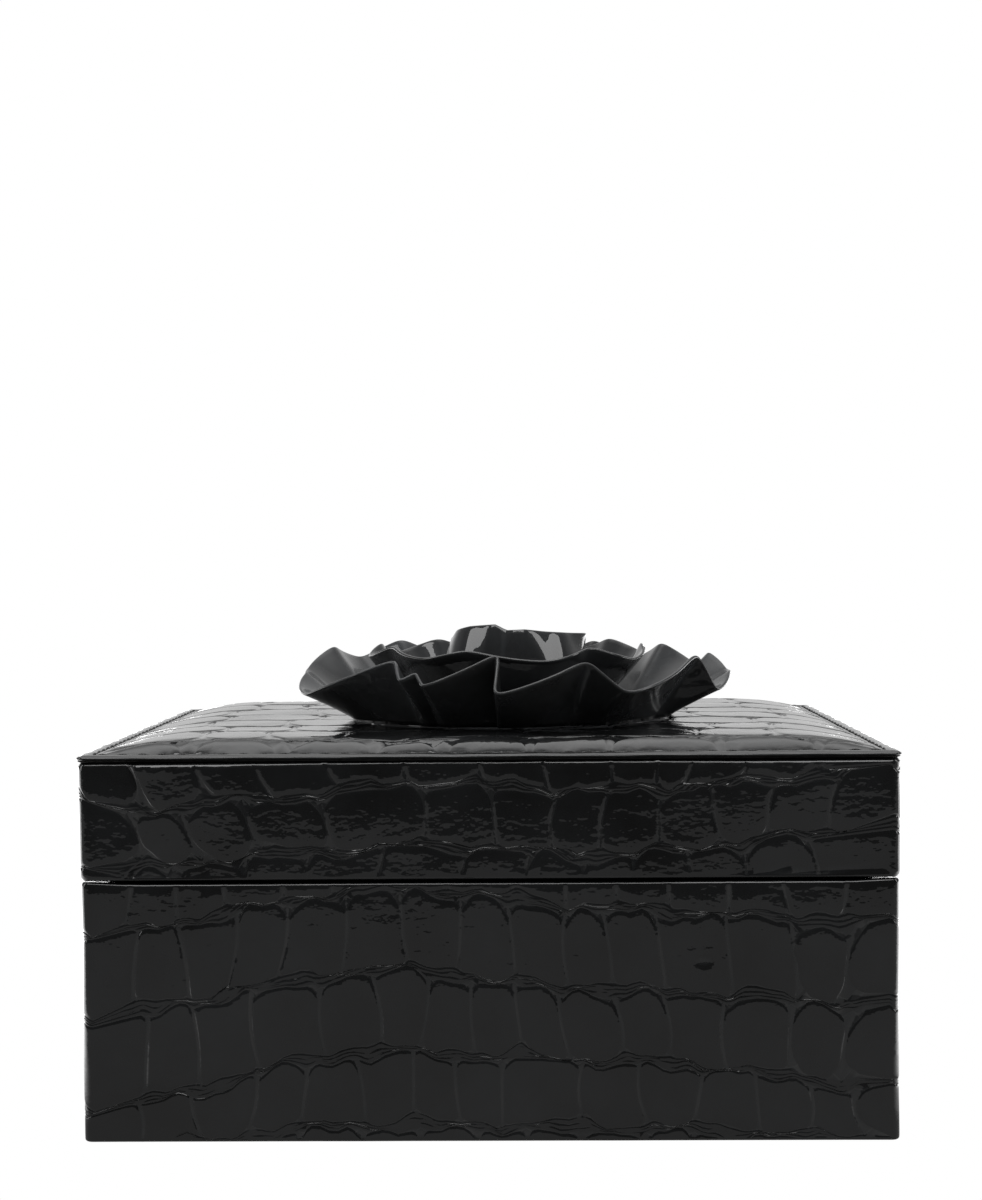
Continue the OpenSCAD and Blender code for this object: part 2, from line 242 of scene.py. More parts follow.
# Depth of a groove, drop of a scale's rim and rise of its middle
GROOVE_DEPTH, RIM_DROP, MIDDLE_RISE = 0.29, 0.23, 0.03
# Lines of the wrinkled strip between two rows of scales: share of its height, and relief
STRIP = (
    (0.07, -0.23), (0.18, -0.08), (0.27, -0.13), (0.33, -0.33), (0.39, -0.13), (0.5, -0.03),
    (0.59, -0.11), (0.65, -0.31), (0.71, -0.11), (0.82, -0.06), (0.93, -0.23),
)


def hide_columns(grooves, bends, middles, closed):
    """Mesh lines across the scales, for one row's grooves: place, distance from the scale's
    border, which side that border is on, the border's place, and the scale's number."""
    lines = []
    for cell, (left, right) in enumerate(zip(grooves[:-1], grooves[1:])):
        bend = [b for b in bends if left < b < right]
        rooms = [(right - left) / 2] * 2
        if bend:
            rooms = [bend[0] - BEND_ROOM - left, right - bend[0] - BEND_ROOM]
        k_left, k_right = (min(1, 0.82 * room / (GAP + STEPS[-1])) for room in rooms)
        first, last = left + k_left * GAP, right - k_right * GAP
        inner = bend[0] + BEND_STEPS if bend else np.linspace(
            first + k_left * STEPS[-1], last - k_right * STEPS[-1], middles.get(cell, 3) + 2)[1:-1]
        lines.append((left, -1.0, 1, left, cell))
        lines += [(first + k_left * step, k_left * step, 1, first, cell) for step in STEPS]
        for place in inner:
            near_left = place - first < last - place
            gap = min(place - first, last - place)
            lines.append((place, gap, 1 if near_left else -1, first if near_left else last, cell))
        lines += [(last - k_right * step, k_right * step, -1, last, cell) for step in STEPS[::-1]]
    if not closed:
        lines.append((grooves[-1], -1.0, -1, grooves[-1], len(grooves) - 2))
    return np.array(lines, float).T


def wobble(draw, period, lengths, amounts):
    """A small seeded wave along a line, which closes on itself where a period is given."""
    parts = []
    for length, amount in zip(lengths, amounts):
        turns = round(period / length) / period if period else 1 / length
        parts.append((2 * math.pi * turns, draw.uniform(0, 2 * math.pi), amount))
    return lambda s: sum(amount * np.sin(k * s + start) for k, start, amount in parts)


def groove_shift(draw, column, grooves, bends, closed, leans):
    """How the grooves of one row lean and bow: each column's sideways lean and bow."""
    place, cell = column[0], column[4].astype(int)
    count = len(grooves) - 1
    lean, bow = draw.uniform(-1.5, 1.5, count + 1), draw.uniform(-1.2, 1.2, count + 1)
    lean[:len(leans)] = leans
    if closed:
        lean[-1], bow[-1] = lean[0], bow[0]
    else:
        lean[[0, -1]], bow[[0, -1]] = 0, 0
    left, right = np.asarray(grooves)[cell], np.asarray(grooves)[cell + 1]
    share = (place - left) / (right - left)
    at_left, at_right = 1 - share, share
    for bend in bends:
        near = (left < bend) & (right > bend)
        low, high = bend - BEND_ROOM, bend + BEND_ROOM
        to_left = np.clip((low - place) / np.maximum(low - left, 1), 0, 1)
        to_right = np.clip((place - high) / np.maximum(right - high, 1), 0, 1)
        at_left = np.where(near, to_left, at_left)
        at_right = np.where(near, to_right, at_right)
    hump = np.sin(math.pi * np.clip(share, 0, 1))
    return (lean[cell] * at_left + lean[cell + 1] * at_right,
            bow[cell] * at_left + bow[cell + 1] * at_right, hump)


def corner_arc(column, x, y, radius):
    """Brings the lines near a scale's corner onto an arc: their new places and rises."""
    place, gap, side, border, _ = column
    inside = (gap >= 0) & (x < radius) & (y < radius)
    p, q = radius - x, radius - y
    pull = np.where(inside, np.maximum(p, q) / np.maximum(np.hypot(p, q), 1e-6), 1)
    s = np.where(inside, border + side * (radius - p * pull), place)
    return s, np.where(inside, radius - q * pull, y)


def scale_relief(gap, x, y, own):
    """Relief at the distances x and y from a scale's borders, or in the groove beside it; own
    is the scale's own height and tilt."""
    d = np.minimum(x, y)
    middle = MIDDLE_RISE * (1 - np.exp(-d / 2.6)) - RIM_DROP * np.exp(-((d / 0.3) ** 1.5))
    groove = 0.07 * math.exp(-(y ** 2)) - GROOVE_DEPTH
    return np.where(gap < 0, groove, middle + own * (1 - np.exp(-d / 0.5)))


def croc_hide(rows, edges, low, high, strip, row_h, bends=(), middles=None, levels=None,
              closed=True, corner_low=1.2, corner_high=2.4, ovals=None, leans=None, scallop=1.0,
              seed=1):
    """Embossed hide as a grid: rows holds each row's groove places, and edges the curve under
    each row. Returns places, heights and relief of the points, and the grid's vertex numbers,
    cut off at the heights low and high."""
    draw = np.random.default_rng(seed)
    middles, levels, ovals, leans = middles or {}, levels or {}, ovals or {}, leans or {}
    columns = [hide_columns(g, bends, middles, closed) for g in rows]
    period = rows[0][-1] - rows[0][0] if closed else None
    body_h = row_h - strip
    cells = len(rows[0]) - 1
    layers = []
    shifts = [groove_shift(draw, c, g, bends, closed, leans.get(r, ()))
              for r, (c, g) in enumerate(zip(columns, rows))]
    lines = [wobble(draw, period, (31, 14, 8.3, 5.1), (0.8, 0.45, 0.3, 0.12)) for _ in edges]
    thick = [wobble(draw, period, (37, 19, 9), (0.28, 0.26, 0.16)) for _ in edges]
    marks = [wobble(draw, period, (27, 12, 6.5), (0.25, 0.3, 0.25)) for _ in edges]
    swings = [wobble(draw, period, (17, 7), (0.6, 0.35)) for _ in edges]
    scallops = [[scallop * draw.uniform(-0.2, 0.9, cells) for _ in range(2)] for _ in rows]

    def edge_line(r, s):
        return edges[r](s) + lines[r](s)

    def strip_at(r, s):
        return strip * np.clip(0.72 + thick[r](s), 0.24, 1.4)

    for r, column in enumerate(columns):
        place, gap, cell = column[0], column[1], column[4].astype(int)
        width = np.diff(rows[r])[cell]
        centre = (np.asarray(rows[r])[:-1] + np.diff(rows[r]) / 2)[cell]
        lean, bow, hump = shifts[r]
        under, over = (scallops[r][k][cell] * hump for k in (0, 1))
        if r:
            before = columns[r - 1][0] + shifts[r - 1][0]
            before_over = scallops[r - 1][1][columns[r - 1][4].astype(int)] * shifts[r - 1][2]
            for share, relief in STRIP:
                blend = share * share * (3 - 2 * share)
                s = before * (1 - blend) + (place - lean) * blend
                t = edge_line(r, s) + (share - 0.5) * strip_at(r, s)
                t = t + 1.4 * share * (1 - share) * swings[r](s) * strip_at(r, s) / strip
                t = t + before_over * (1 - share) - under * share
                strength = np.clip(0.5 + marks[r](s + 9 * share) * 1.1, 0.05, 1.05)
                layers.append((s, t, np.where(abs(relief) > 0.15, relief * strength, relief)))
        low_r = draw.uniform(0.5, 1.9, cells) * corner_low
        high_r = draw.uniform(0.35, 1.6, cells) * corner_high
        for c in ovals.get(r, ()):
            low_r[c] = high_r[c] = 0.42 * min(width[cell == c][0], body_h)
        lift = draw.uniform(-0.03, 0.03, cells)
        tilt_s = draw.uniform(-0.12, 0.12, cells)
        tilt_t = draw.uniform(-0.1, 0.1, cells)
        inner = np.linspace(STEPS[-1], body_h - STEPS[-1], levels.get(r, 3) + 2)[1:-1]
        scale = min(1, 0.8 * body_h / 2 / STEPS[-1])
        body = np.concatenate([STEPS * scale, inner, body_h - STEPS[::-1] * scale])
        for u in body:
            lower = u < body_h / 2
            y = u if lower else body_h - u
            x = np.maximum(gap, 0)
            radius = np.minimum((low_r if lower else high_r)[cell], 0.46 * np.minimum(width, body_h))
            s, rise = corner_arc(column, x, y, radius)
            v = (rise if lower else body_h - rise) / body_h
            s = s + lean * (2 * v - 1) + bow * np.sin(math.pi * v)
            foot = edge_line(r, s) + strip_at(r, s) / 2 - under
            head = edge_line(r + 1, s) - strip_at(r + 1, s) / 2 + over
            t = foot + v * np.maximum(head - foot, 0.4)
            own = lift[cell] + tilt_s[cell] * (place - centre) / width + tilt_t[cell] * (u / body_h - 0.5)
            layers.append((s, t, scale_relief(gap, x, y, own)))
    s, t, h = np.array(layers).transpose(1, 0, 2)
    t = np.maximum.accumulate(t + np.arange(len(t))[:, None] * 1e-5, axis=0)
    return cut_columns(s, t, h, low, high)


def cut_columns(s, t, h, low, high):
    """Ends each column at the heights low and high, and lets the points beyond share one number."""
    level = np.arange(len(t))[:, None]
    column = np.arange(t.shape[1])
    first = np.argmax(t >= low, axis=0)
    last = len(t) - 1 - np.argmax((t <= high)[::-1], axis=0)
    if first.min() < 1 or last.max() > len(t) - 2:
        raise ValueError("the rows of scales don't cover the band")
    for inner, outer, limit in ((first, first - 1, low), (last, last + 1, high)):
        share = (limit - t[inner, column]) / (t[outer, column] - t[inner, column])
        for values in (s, h):
            values[outer, column] += (values[inner, column] - values[outer, column]) * (1 - share)
        t[outer, column] = limit
    rows = np.clip(level, (first - 1)[None, :], (last + 1)[None, :])
    return s, t, h, rows * t.shape[1] + column[None, :]


# The ends of the two hinge pockets, counted along the perimeter: a leaf's inner end is
# LEAF_SHARE of the way out to its outer end
LEAF_SHARE = 50 / 74
POCKETS = [3 * HALF_X + 2 * HALF_Y + sign * cad_box("hinge_base_leaves")[1][0] * share
           for sign in (-1, 1) for share in (1, LEAF_SHARE)]


def snapped(s):
    """Places of the rim's points, with two of them brought to each side of a hinge pocket."""
    s = s.copy()
    for edge in POCKETS:
        near = np.argsort(np.abs(s - edge))[:2]
        near = near[np.argsort(s[near])]
        s[near] = (edge - 0.05, edge + 0.05)
    return s


def in_pocket(s):
    """Which places lie in a hinge pocket."""
    low, high = sorted(POCKETS[:2]), sorted(POCKETS[2:])
    return ((s > low[0]) & (s < low[1])) | ((s > high[0]) & (s < high[1]))


def lid_lean(s, t):
    """The lid's front leans in a little towards its rim at both ends."""
    middle = (LID_LO[2] + LID_HI[2]) / 2
    ends = np.exp(-(((s - 10) / 30) ** 2)) + np.exp(-(((s - 2 * HALF_X + 10) / 34) ** 2))
    front = np.clip((s - 1) / 5, 0, 1) * np.clip((2 * HALF_X - 1 - s) / 5, 0, 1)
    return 0.25 + 0.052 * ends * front * (t - middle)


def wrap_piece(name, hide, under, over, rim_up, rim_z, look, body, node, marks=None):
    """The hide bent round the box. under and over hold (inset, height) rows of its folds,
    outward from the cut edge; rim_up says whether the rim with the hinge pockets is on top."""
    s, t, h, index = hide
    flat_s, flat_t = s.ravel(), t.ravel()
    relief = h.ravel() * np.clip((flat_t - under[0][1] + 0.5) / 1.5, 0.25, 1)
    relief *= np.clip((over[0][1] - flat_t + 0.5) / 1.5, 0.25, 1)
    if marks is not None:
        relief = relief + marks(flat_s, flat_t)
    layers = [(flat_s, flat_t, relief)]
    for rows, end in ((under, 0), (over, -1)):
        edge_s, edge_h = flat_s[index[end]], h.ravel()[index[end]]
        is_rim = rim_up == (end == -1)
        if is_rim:
            edge_s = snapped(edge_s)
        for n, (inset, z) in enumerate(rows):
            fade = 0.25 * max(0, 1 - n / 3)
            height = np.full(edge_s.shape, float(z))
            if is_rim:
                inside = in_pocket(edge_s)
                limit = np.minimum(height, rim_z) if rim_up else np.maximum(height, rim_z)
                height = np.where(inside, limit, height)
            layers.append((edge_s, height, edge_h * fade - inset))
    places, heights, out = (np.concatenate(part) for part in zip(*layers))
    where = side_place(places, HALF_X, HALF_Y)
    surface, _ = round_box(where, HALF_X, HALF_Y, CORNER_R)
    uneven = waves(np.column_stack([surface, heights]), 0.07, 18, 60, 11)
    face = out > -0.7
    out = out + np.where(face, uneven * np.clip((out + 0.7) / 0.3, 0, 1), 0)
    flat, _ = round_box(where, HALF_X, HALF_Y, CORNER_R, out)
    points = np.column_stack([flat, heights])
    fold = np.arange(len(flat_s), len(points)).reshape(-1, t.shape[1])
    full = np.concatenate([fold[:len(under)][::-1], index, fold[len(under):]])
    points, faces = tidy_faces(points, grid_faces(full, closed=True))
    return add_piece(name, points, faces, look, body, [node], "patent_leather")


def rolled(radius, start_z, up, inner):
    """(inset, height) rows of a fold of that radius, then the turned-in flap."""
    rows = []
    for step in range(1, 6):
        a = math.radians(18 * step)
        rows.append((radius * (1 - math.cos(a)), start_z + up * radius * math.sin(a)))
    return rows + [(inset, start_z + up * radius) for inset in inner]


def groove_fold():
    """(inset, height) rows of the lid band's top edge, which rolls over and up into the groove."""
    return rolled(1.0, LID_HI[2] - 0.05, 1, (1.2, 1.6))


def spread(start, end, count, low, high, draw):
    """count places between start and end, with uneven steps."""
    steps = draw.uniform(low, high, count + 1)
    return list(start + np.cumsum(steps)[:-1] / steps.sum() * (end - start))


def round_the_box(front, sides, draw):
    """Groove places round the box: the front's own, and sides uneven ones on each other side."""
    width, depth = 2 * HALF_X, 2 * HALF_Y
    row = list(front)
    start = width
    for length, count in ((depth, sides), (width, len(front)), (depth, sides)):
        row += spread(start - 3, start + length + 3, count, 0.8, 1.25, draw)
        start += length
    return np.array(row + [row[0] + PERIMETER])


BENDS = [2 * HALF_X, 2 * (HALF_X + HALF_Y), 4 * HALF_X + 2 * HALF_Y, PERIMETER]


def base_hide():
    """The base's hide: four rows of scales whose lines rise towards the middle of each side."""
    draw = np.random.default_rng(21)
    fronts = (
        (12, 26, 39, 54, 70, 84, 98, 111, 125, 138, 151, 165, 178, 191),
        (14, 28, 42, 55, 69, 82, 93, 104, 124, 139, 152.5, 167, 180, 192),
        (16, 28, 43, 60, 73, 85, 97, 108, 119.5, 132.7, 144.6, 159.2, 175, 189),
        (13.6, 25.3, 37.2, 50, 65.2, 80, 93.7, 106.6, 120.3, 130.2, 143.4, 160.2, 176, 190),
        (12, 24, 36, 50, 63, 79, 92, 107, 119, 132, 145, 160, 174, 189),
    )
    rows = [round_the_box(front, 10, draw) for front in fronts]
    line = smooth_curve([
        (7, 9.9), (39, 16.9), (64, 22.6), (104, 21.8), (153, 19.3), (190, 14.9), (225, 15), (270, 19),
        (310, 22), (345, 18), (380, 14), (430, 18), (480, 22), (530, 17), (570, 19), (610, 22),
        (650, 15), (690, 10),
    ], PERIMETER)
    upper = smooth_curve([
        (3, 31.8), (38, 38), (83, 43.4), (109, 40), (153, 37.2), (192, 34.8), (225, 35), (270, 40),
        (310, 42.5), (345, 38.5), (380, 34.5), (430, 38), (480, 42), (530, 38), (570, 39), (610, 42),
        (650, 37), (690, 31.5),
    ], PERIMETER)
    edges = [lambda s: line(s) - 39, lambda s: 0.5 * line(s) - 6.5, line, upper,
             lambda s: upper(s) + 20.3, lambda s: upper(s) + 41]
    low, high = BASE_LO[2] + 0.6, BASE_HI[2] - 0.8
    ovals = {3: (12, 13), 2: (12, 13), 1: (13,)}
    return croc_hide(rows, edges, low, high, 3.4, 20.5, BENDS, {10: 9}, {3: 9},
                     corner_high=2.6, ovals=ovals, seed=5)


def oval_mark(s, t):
    """A small healed mark in one scale of the base's front: an oval pit with a raised ring."""
    ring = np.hypot((s - 154) / 4.2, (t - 45.2) / 2.0)
    return 0.16 * np.exp(-(((ring - 1) / 0.35) ** 2)) - 0.4 * np.exp(-((ring / 0.55) ** 2))


def lid_hide():
    """The lid's hide: one full row of scales and parts of the rows above and below."""
    draw = np.random.default_rng(33)
    fronts = (
        (10, 24, 40, 56, 75, 94, 110, 124, 138, 150, 164, 181),
        (14, 28, 43, 61.8, 85, 102.4, 117.6, 129.7, 143, 157.5, 170.4, 185.8),
        (14, 29.5, 45, 61.7, 79.9, 99, 115.3, 131.7, 142, 151, 165.4, 182),
    )
    rows = [round_the_box(front, 9, draw) for front in fronts]
    line = smooth_curve([
        (6, 3.2), (49, 6.4), (84, 8.4), (126, 6.1), (158, 8.1), (198, 12.2), (240, 9.2), (290, 5.7),
        (335, 8.2), (380, 6.2), (430, 8.7), (480, 6.2), (530, 9.2), (570, 7.2), (620, 5.2), (670, 7.7),
    ], PERIMETER)
    upper = smooth_curve([
        (1, 21.5), (8, 17.8), (18, 17.2), (30, 19.4), (47, 20), (79, 23.8), (128, 21.8), (166, 23.8),
        (200, 27.2), (240, 24.2), (290, 21.2), (335, 23.7), (380, 21.2), (430, 24), (480, 21.7),
        (530, 24.2), (570, 22.2), (620, 20.7), (670, 22.2),
    ], PERIMETER)
    rim = LID_LO[2]
    edges = [lambda s: rim + line(s) - 15.5, lambda s: rim + line(s), lambda s: rim + upper(s),
             lambda s: rim + upper(s) + 15.5]
    low, high = LID_LO[2] + 0.8, LID_HI[2] - 0.05
    ovals = {1: (0, 1, 2, 41), 0: (0, 1), 2: (0, 41)}
    leans = {0: (1.5, -1.2, 1.4), 1: (-1.6, -2.4, -2.3, -1.6, -0.5), 2: (-2.2, -3.2, -3, -2.2, -1, -0.4)}
    return croc_hide(rows, edges, low, high, 2.8, 15.3, BENDS, corner_low=1.4, corner_high=2.2,
                     ovals=ovals, leans=leans, seed=9)


# ---- lid panel

FIELD_INSET = 4.6
SLOPE_X, SLOPE_Y = 26.0, 9.0
FIELD_X = PANEL_HI[0] - FIELD_INSET
FIELD_Y = PANEL_HI[1] - FIELD_INSET


def swell(distance, slope):
    """Share of the crown's height at that distance from the field's foot."""
    return 1 - (1 - np.clip(distance / slope, 0, 1)) ** 2.2


def dome(x, y):
    """Height of the padded field above the panel's edge."""
    rise = swell(FIELD_X - np.abs(x), SLOPE_X) * swell(FIELD_Y - np.abs(y), SLOPE_Y)
    return CROWN_H * rise


def panel_field():
    """The padded field: embossed hide over the dome, dipping into the stitch groove."""
    draw = np.random.default_rng(41)
    count, pitch = 9, 18.6
    rows, edges = [], []
    for r in range(count + 2):
        inner = spread(0, 2 * FIELD_X, 8, 0.7, 1.3, draw)
        rows.append(np.array([0.0, *inner, 2 * FIELD_X]))
    bow = smooth_curve([(0, 0), (30, 1.6), (70, 0.4), (110, 2.4), (150, 1.2), (200, -0.8)])
    for r in range(count + 3):
        base = -FIELD_Y - 1.74 * pitch + r * pitch
        tilt = draw.uniform(-0.012, 0.012)
        edges.append(lambda s, base=base, tilt=tilt: base + bow(s) + tilt * (s - FIELD_X))
    s, t, h, index = croc_hide(rows, edges, -FIELD_Y, FIELD_Y, 2.2, pitch, closed=False,
                               middles=dict.fromkeys(range(9), 6), corner_low=4.5, corner_high=9,
                               scallop=2.2, seed=12)
    x, y = s.ravel() - FIELD_X, t.ravel()
    z = PANEL_Z + dome(x, y) + h.ravel() * 0.8
    z = z + waves(np.column_stack([x, y, np.zeros_like(z)]), 0.1, 20, 70, 5) * np.clip(dome(x, y), 0, 1)
    edge = np.minimum(FIELD_X - np.abs(x), FIELD_Y - np.abs(y))
    z = z - 0.35 * np.exp(-((edge / 0.5) ** 2))
    return tidy_faces(np.column_stack([x, y, z]), grid_faces(index))


STITCH_IN = PANEL_HI[0] - (STITCH_HI[0] - 0.3)
STITCH_PITCH = 5.0


def panel_sides():
    """The panel's sides from the front round: number, length and count of stitches."""
    for side in range(4):
        length = 2 * PANEL_HI[side % 2]
        yield side, length, round((length - 2 * STITCH_IN) / STITCH_PITCH)


def panel_border():
    """The panel's turned edge outside the field, with the stitch groove and its dimples."""
    places, dimples = [], []
    for side, length, count in panel_sides():
        bend = np.array([0, 0.25, 0.5, 0.75]) * CORNER_R
        ends = np.concatenate([bend, np.linspace(CORNER_R, STITCH_IN, 3)[:-1]])
        run = STITCH_IN + (length - 2 * STITCH_IN) * np.linspace(0, 1, count * 6 + 1)
        along = np.concatenate([ends, run, length - ends[:0:-1]])
        phase = np.clip((along - STITCH_IN) / (length - 2 * STITCH_IN), 0, 1) * count
        places += list(side + along / length)
        dimples += list(np.exp(-(((phase - np.round(phase)) * STITCH_PITCH / 0.55) ** 2)))
    places, dimples = np.array(places), np.array(dimples)
    top = PANEL_Z + 0.04 * np.sin(places * 37) + 0.03 * np.sin(places * 91 + 1)
    rows = [(FIELD_INSET + 0.5, PANEL_Z - 0.55), (FIELD_INSET + 0.15, PANEL_Z - 0.4)]
    for away, depth in ((0.7, 0.12), (0.4, 0.26), (0.15, 0.42), (-0.15, 0.42), (-0.4, 0.26), (-0.75, 0.1)):
        rows.append((STITCH_IN + away, top - depth - 0.28 * dimples * math.exp(-((away / 0.45) ** 2))))
    rows += [(STITCH_IN - 1.2, top - 0.02)]
    for step in range(12):
        a = math.radians(8 + 8.6 * step)
        rows.append(((STITCH_IN - 1.3) * (1 - math.sin(a)), top - 0.02 - 0.84 * (1 - math.cos(a))))
    rows += [(0.03, PANEL_Z - 0.9), (0.12, PANEL_Z - 1.12), (0.4, PANEL_Z - 1.22), (1.4, PANEL_Z - 1.24)]
    return sweep(rows[::-1], places, PANEL_HI[0], PANEL_HI[1], CORNER_R)


def panel_core_edge():
    """The fibrous board edge that shows under the panel's turned leather."""
    low, high = PANEL_LO[2], PANEL_Z - 1.05
    places = ring_places(1.2, PANEL_HI[0], PANEL_HI[1], CORNER_R)
    rough = 0.05 * np.sin(places * 190) + 0.04 * np.sin(places * 333)
    rows = [(3.2, low), (1.7, low), (1.3 + rough, low + 0.15), (0.45 + rough, low + 0.5),
            (0.4 + rough, high - 0.1), (1.2, high)]
    return sweep(rows, places, PANEL_HI[0], PANEL_HI[1], CORNER_R)


def tube(path, radii, sides):
    """A closed tube along a path of points, with its own radius at each."""
    path = np.asarray(path, float)
    ahead = np.gradient(path, axis=0)
    ahead /= np.linalg.norm(ahead, axis=1)[:, None]
    flank = np.cross(ahead, [0, 0, 1])
    flank /= np.maximum(np.linalg.norm(flank, axis=1), 1e-9)[:, None]
    lift = np.cross(flank, ahead)
    turn = 2 * math.pi * np.arange(sides)[:, None] / sides
    ring = flank[:, None] * np.cos(turn) + lift[:, None] * np.sin(turn)
    points = (path[:, None] + ring * radii[:, None, None]).reshape(-1, 3)
    index = np.arange(len(points)).reshape(len(path), sides)
    faces = grid_faces(index, closed=True).tolist()
    return points, faces + [list(index[0][::-1]), list(index[-1])]


def stitches():
    """The thread's visible runs, each bowed up between two dimples."""
    parts = []
    draw = np.random.default_rng(3)
    for side, length, count in panel_sides():
        step = (length - 2 * STITCH_IN) / count
        for n in range(count):
            along = STITCH_IN + (n + 0.5) * step + np.linspace(-2.1, 2.1, 9)
            flat, _ = round_box(side + along / length, PANEL_HI[0], PANEL_HI[1], CORNER_R, -STITCH_IN)
            share = np.linspace(0, 1, 9)
            z = PANEL_Z - 0.62 + 0.56 * np.sin(math.pi * share) ** 0.6 + draw.uniform(-0.03, 0.03)
            radii = 0.26 * (0.45 + 0.55 * np.sin(math.pi * share) ** 0.5)
            parts.append(tube(np.column_stack([flat, z]), radii, 7))
    return join(parts)


# ---- flower

def shell(grid, thickness, closed):
    """A sheet of leather with real thickness and a rounded rim, from a grid of its middle
    surface. Rows run from the foot to the rim."""
    ahead = np.roll(grid, -1, axis=1) - np.roll(grid, 1, axis=1) if closed else np.gradient(grid, axis=1)
    up = np.gradient(grid, axis=0)
    normal = np.cross(ahead, up)
    normal /= np.maximum(np.linalg.norm(normal, axis=2), 1e-9)[:, :, None]
    for _ in range(2):
        normal[:, 1:-1] = (normal[:, :-2] + 2 * normal[:, 1:-1] + normal[:, 2:]) / 4
        normal /= np.maximum(np.linalg.norm(normal, axis=2), 1e-9)[:, :, None]
    edge = grid[-1] - grid[-2]
    edge /= np.linalg.norm(edge, axis=1)[:, None]
    half = thickness / 2
    layers = [grid[i] + normal[i] * half for i in range(len(grid) - 1)]
    for step in range(7):
        a = math.pi * step / 6
        layers.append(grid[-1] - edge * half + (normal[-1] * math.cos(a) + edge * math.sin(a)) * half)
    layers += [grid[i] - normal[i] * half for i in range(len(grid) - 2, -1, -1)]
    points = np.concatenate(layers)
    columns = grid.shape[1]
    index = np.arange(len(points)).reshape(-1, columns)
    faces = grid_faces(np.concatenate([index, index[:1]]), closed).tolist()
    if not closed:
        count = len(index)
        for column, flip in ((0, False), (columns - 1, True)):
            for i in range(count // 2):
                quad = [index[i, column], index[(i + 1) % count, column],
                        index[count - 2 - i, column], index[count - 1 - i, column]]
                faces.append(quad if flip else quad[::-1])
    return points, faces


def around_flower(angle, radius, z):
    """Points round the flower's centre; the angle is from the front towards the right."""
    a, radius, z = np.broadcast_arrays(np.radians(angle), radius, z)
    return np.stack([FLOWER_X + radius * np.sin(a), -radius * np.cos(a), FLOWER_Z + z], axis=-1)


def ruffle(pleats, foot_r, foot_z, bulge, passes, samples, seed):
    """A gathered strip: its rim runs from dip to tip and back, and its foot is nearly round.
    pleats holds (dip angle, radius, height, tip angle, radius, height) above the foot's plane."""
    corners = [corner for pleat in pleats for corner in (pleat[:3], pleat[3:])]
    corners.append((corners[0][0] + 360, *corners[0][1:]))
    start, end = (np.array(ends, float)[:, None] for ends in (corners[:-1], corners[1:]))
    share = np.linspace(0, 1, samples + 1)[:-1, None]
    bow = np.sin(math.pi * share) * np.minimum(np.abs(end - start)[..., :1] / 30, 1)
    line = start + (end - start) * share + np.array([0, 1.1, -0.5]) * bow
    angle, radius, z = line.reshape(-1, 3).T
    rim = around_flower(angle, radius, z)
    for _ in range(passes):
        rim = (np.roll(rim, 1, axis=0) + 2 * rim + np.roll(rim, -1, axis=0)) / 4
    pinch = (radius - radius.mean()) * 0.22
    foot = around_flower(angle, foot_r + pinch, foot_z)
    outward = around_flower(angle, 1, 0) - around_flower(angle, 0, 0)
    up = np.linspace(0, 1, 15)[:, None, None]
    grid = foot * (1 - up ** 0.92) + rim * up ** 0.92 + outward * bulge * np.sin(math.pi * up)
    return grid + outward * up * waves(grid, 0.1, 9, 26, seed)[..., None]


# Each pleat: the rim's dip and tip, both as angle from the front, radius and height
OUTER_PLEATS = (
    (-66, 61, 7.8, -32.5, 55, 18.8), (-28, 60, 13.4, -24.5, 57.5, 15.4), (-21, 60.8, 12, -2.5, 54, 20.6),
    (-3.4, 60.5, 9.6, 21.5, 55.5, 18.5), (31, 60.5, 9.2, 62, 57, 19), (69, 61, 8.2, 84, 62, 12.6),
    (92, 62, 12.6, 102, 59, 17.2), (114, 60, 13, 127, 57, 19.2), (141, 60, 13.5, 153, 56, 19.6),
    (168, 60, 13, 182, 55, 19), (197, 60, 13.5, 216, 58, 20.4), (230, 60, 14.8, 246, 57.5, 19.4),
    (263, 58.5, 13.8, 272, 58, 12.6),
)
MIDDLE_PLEATS = (
    (-78, 40, 17.5, -60, 37, 21.2), (-36, 39.5, 18, -17, 38, 20.6), (15, 39.5, 17.2, 36, 37, 21),
    (60, 39.5, 16.8, 84, 37, 21), (106, 39, 17.6, 128, 37, 21.2), (150, 39, 17.2, 172, 37, 21),
    (194, 39, 17.4, 216, 37, 21.2), (240, 39, 17.2, 262, 37, 21),
)
PETAL_T = 0.85
BUD_SHIFT = 1.2
# The bud's rim: angle from the front, and drop below its highest point
BUD_RIM = ((-180, -4.2), (-120, -4.6), (-90, -4.5), (-65, -2.0), (-45, -0.7), (-18, 0), (-7, -1.8),
           (10, -1.5), (32, -2.3), (60, -2.9), (92, -3.4), (120, -5.0), (180, -4.2))


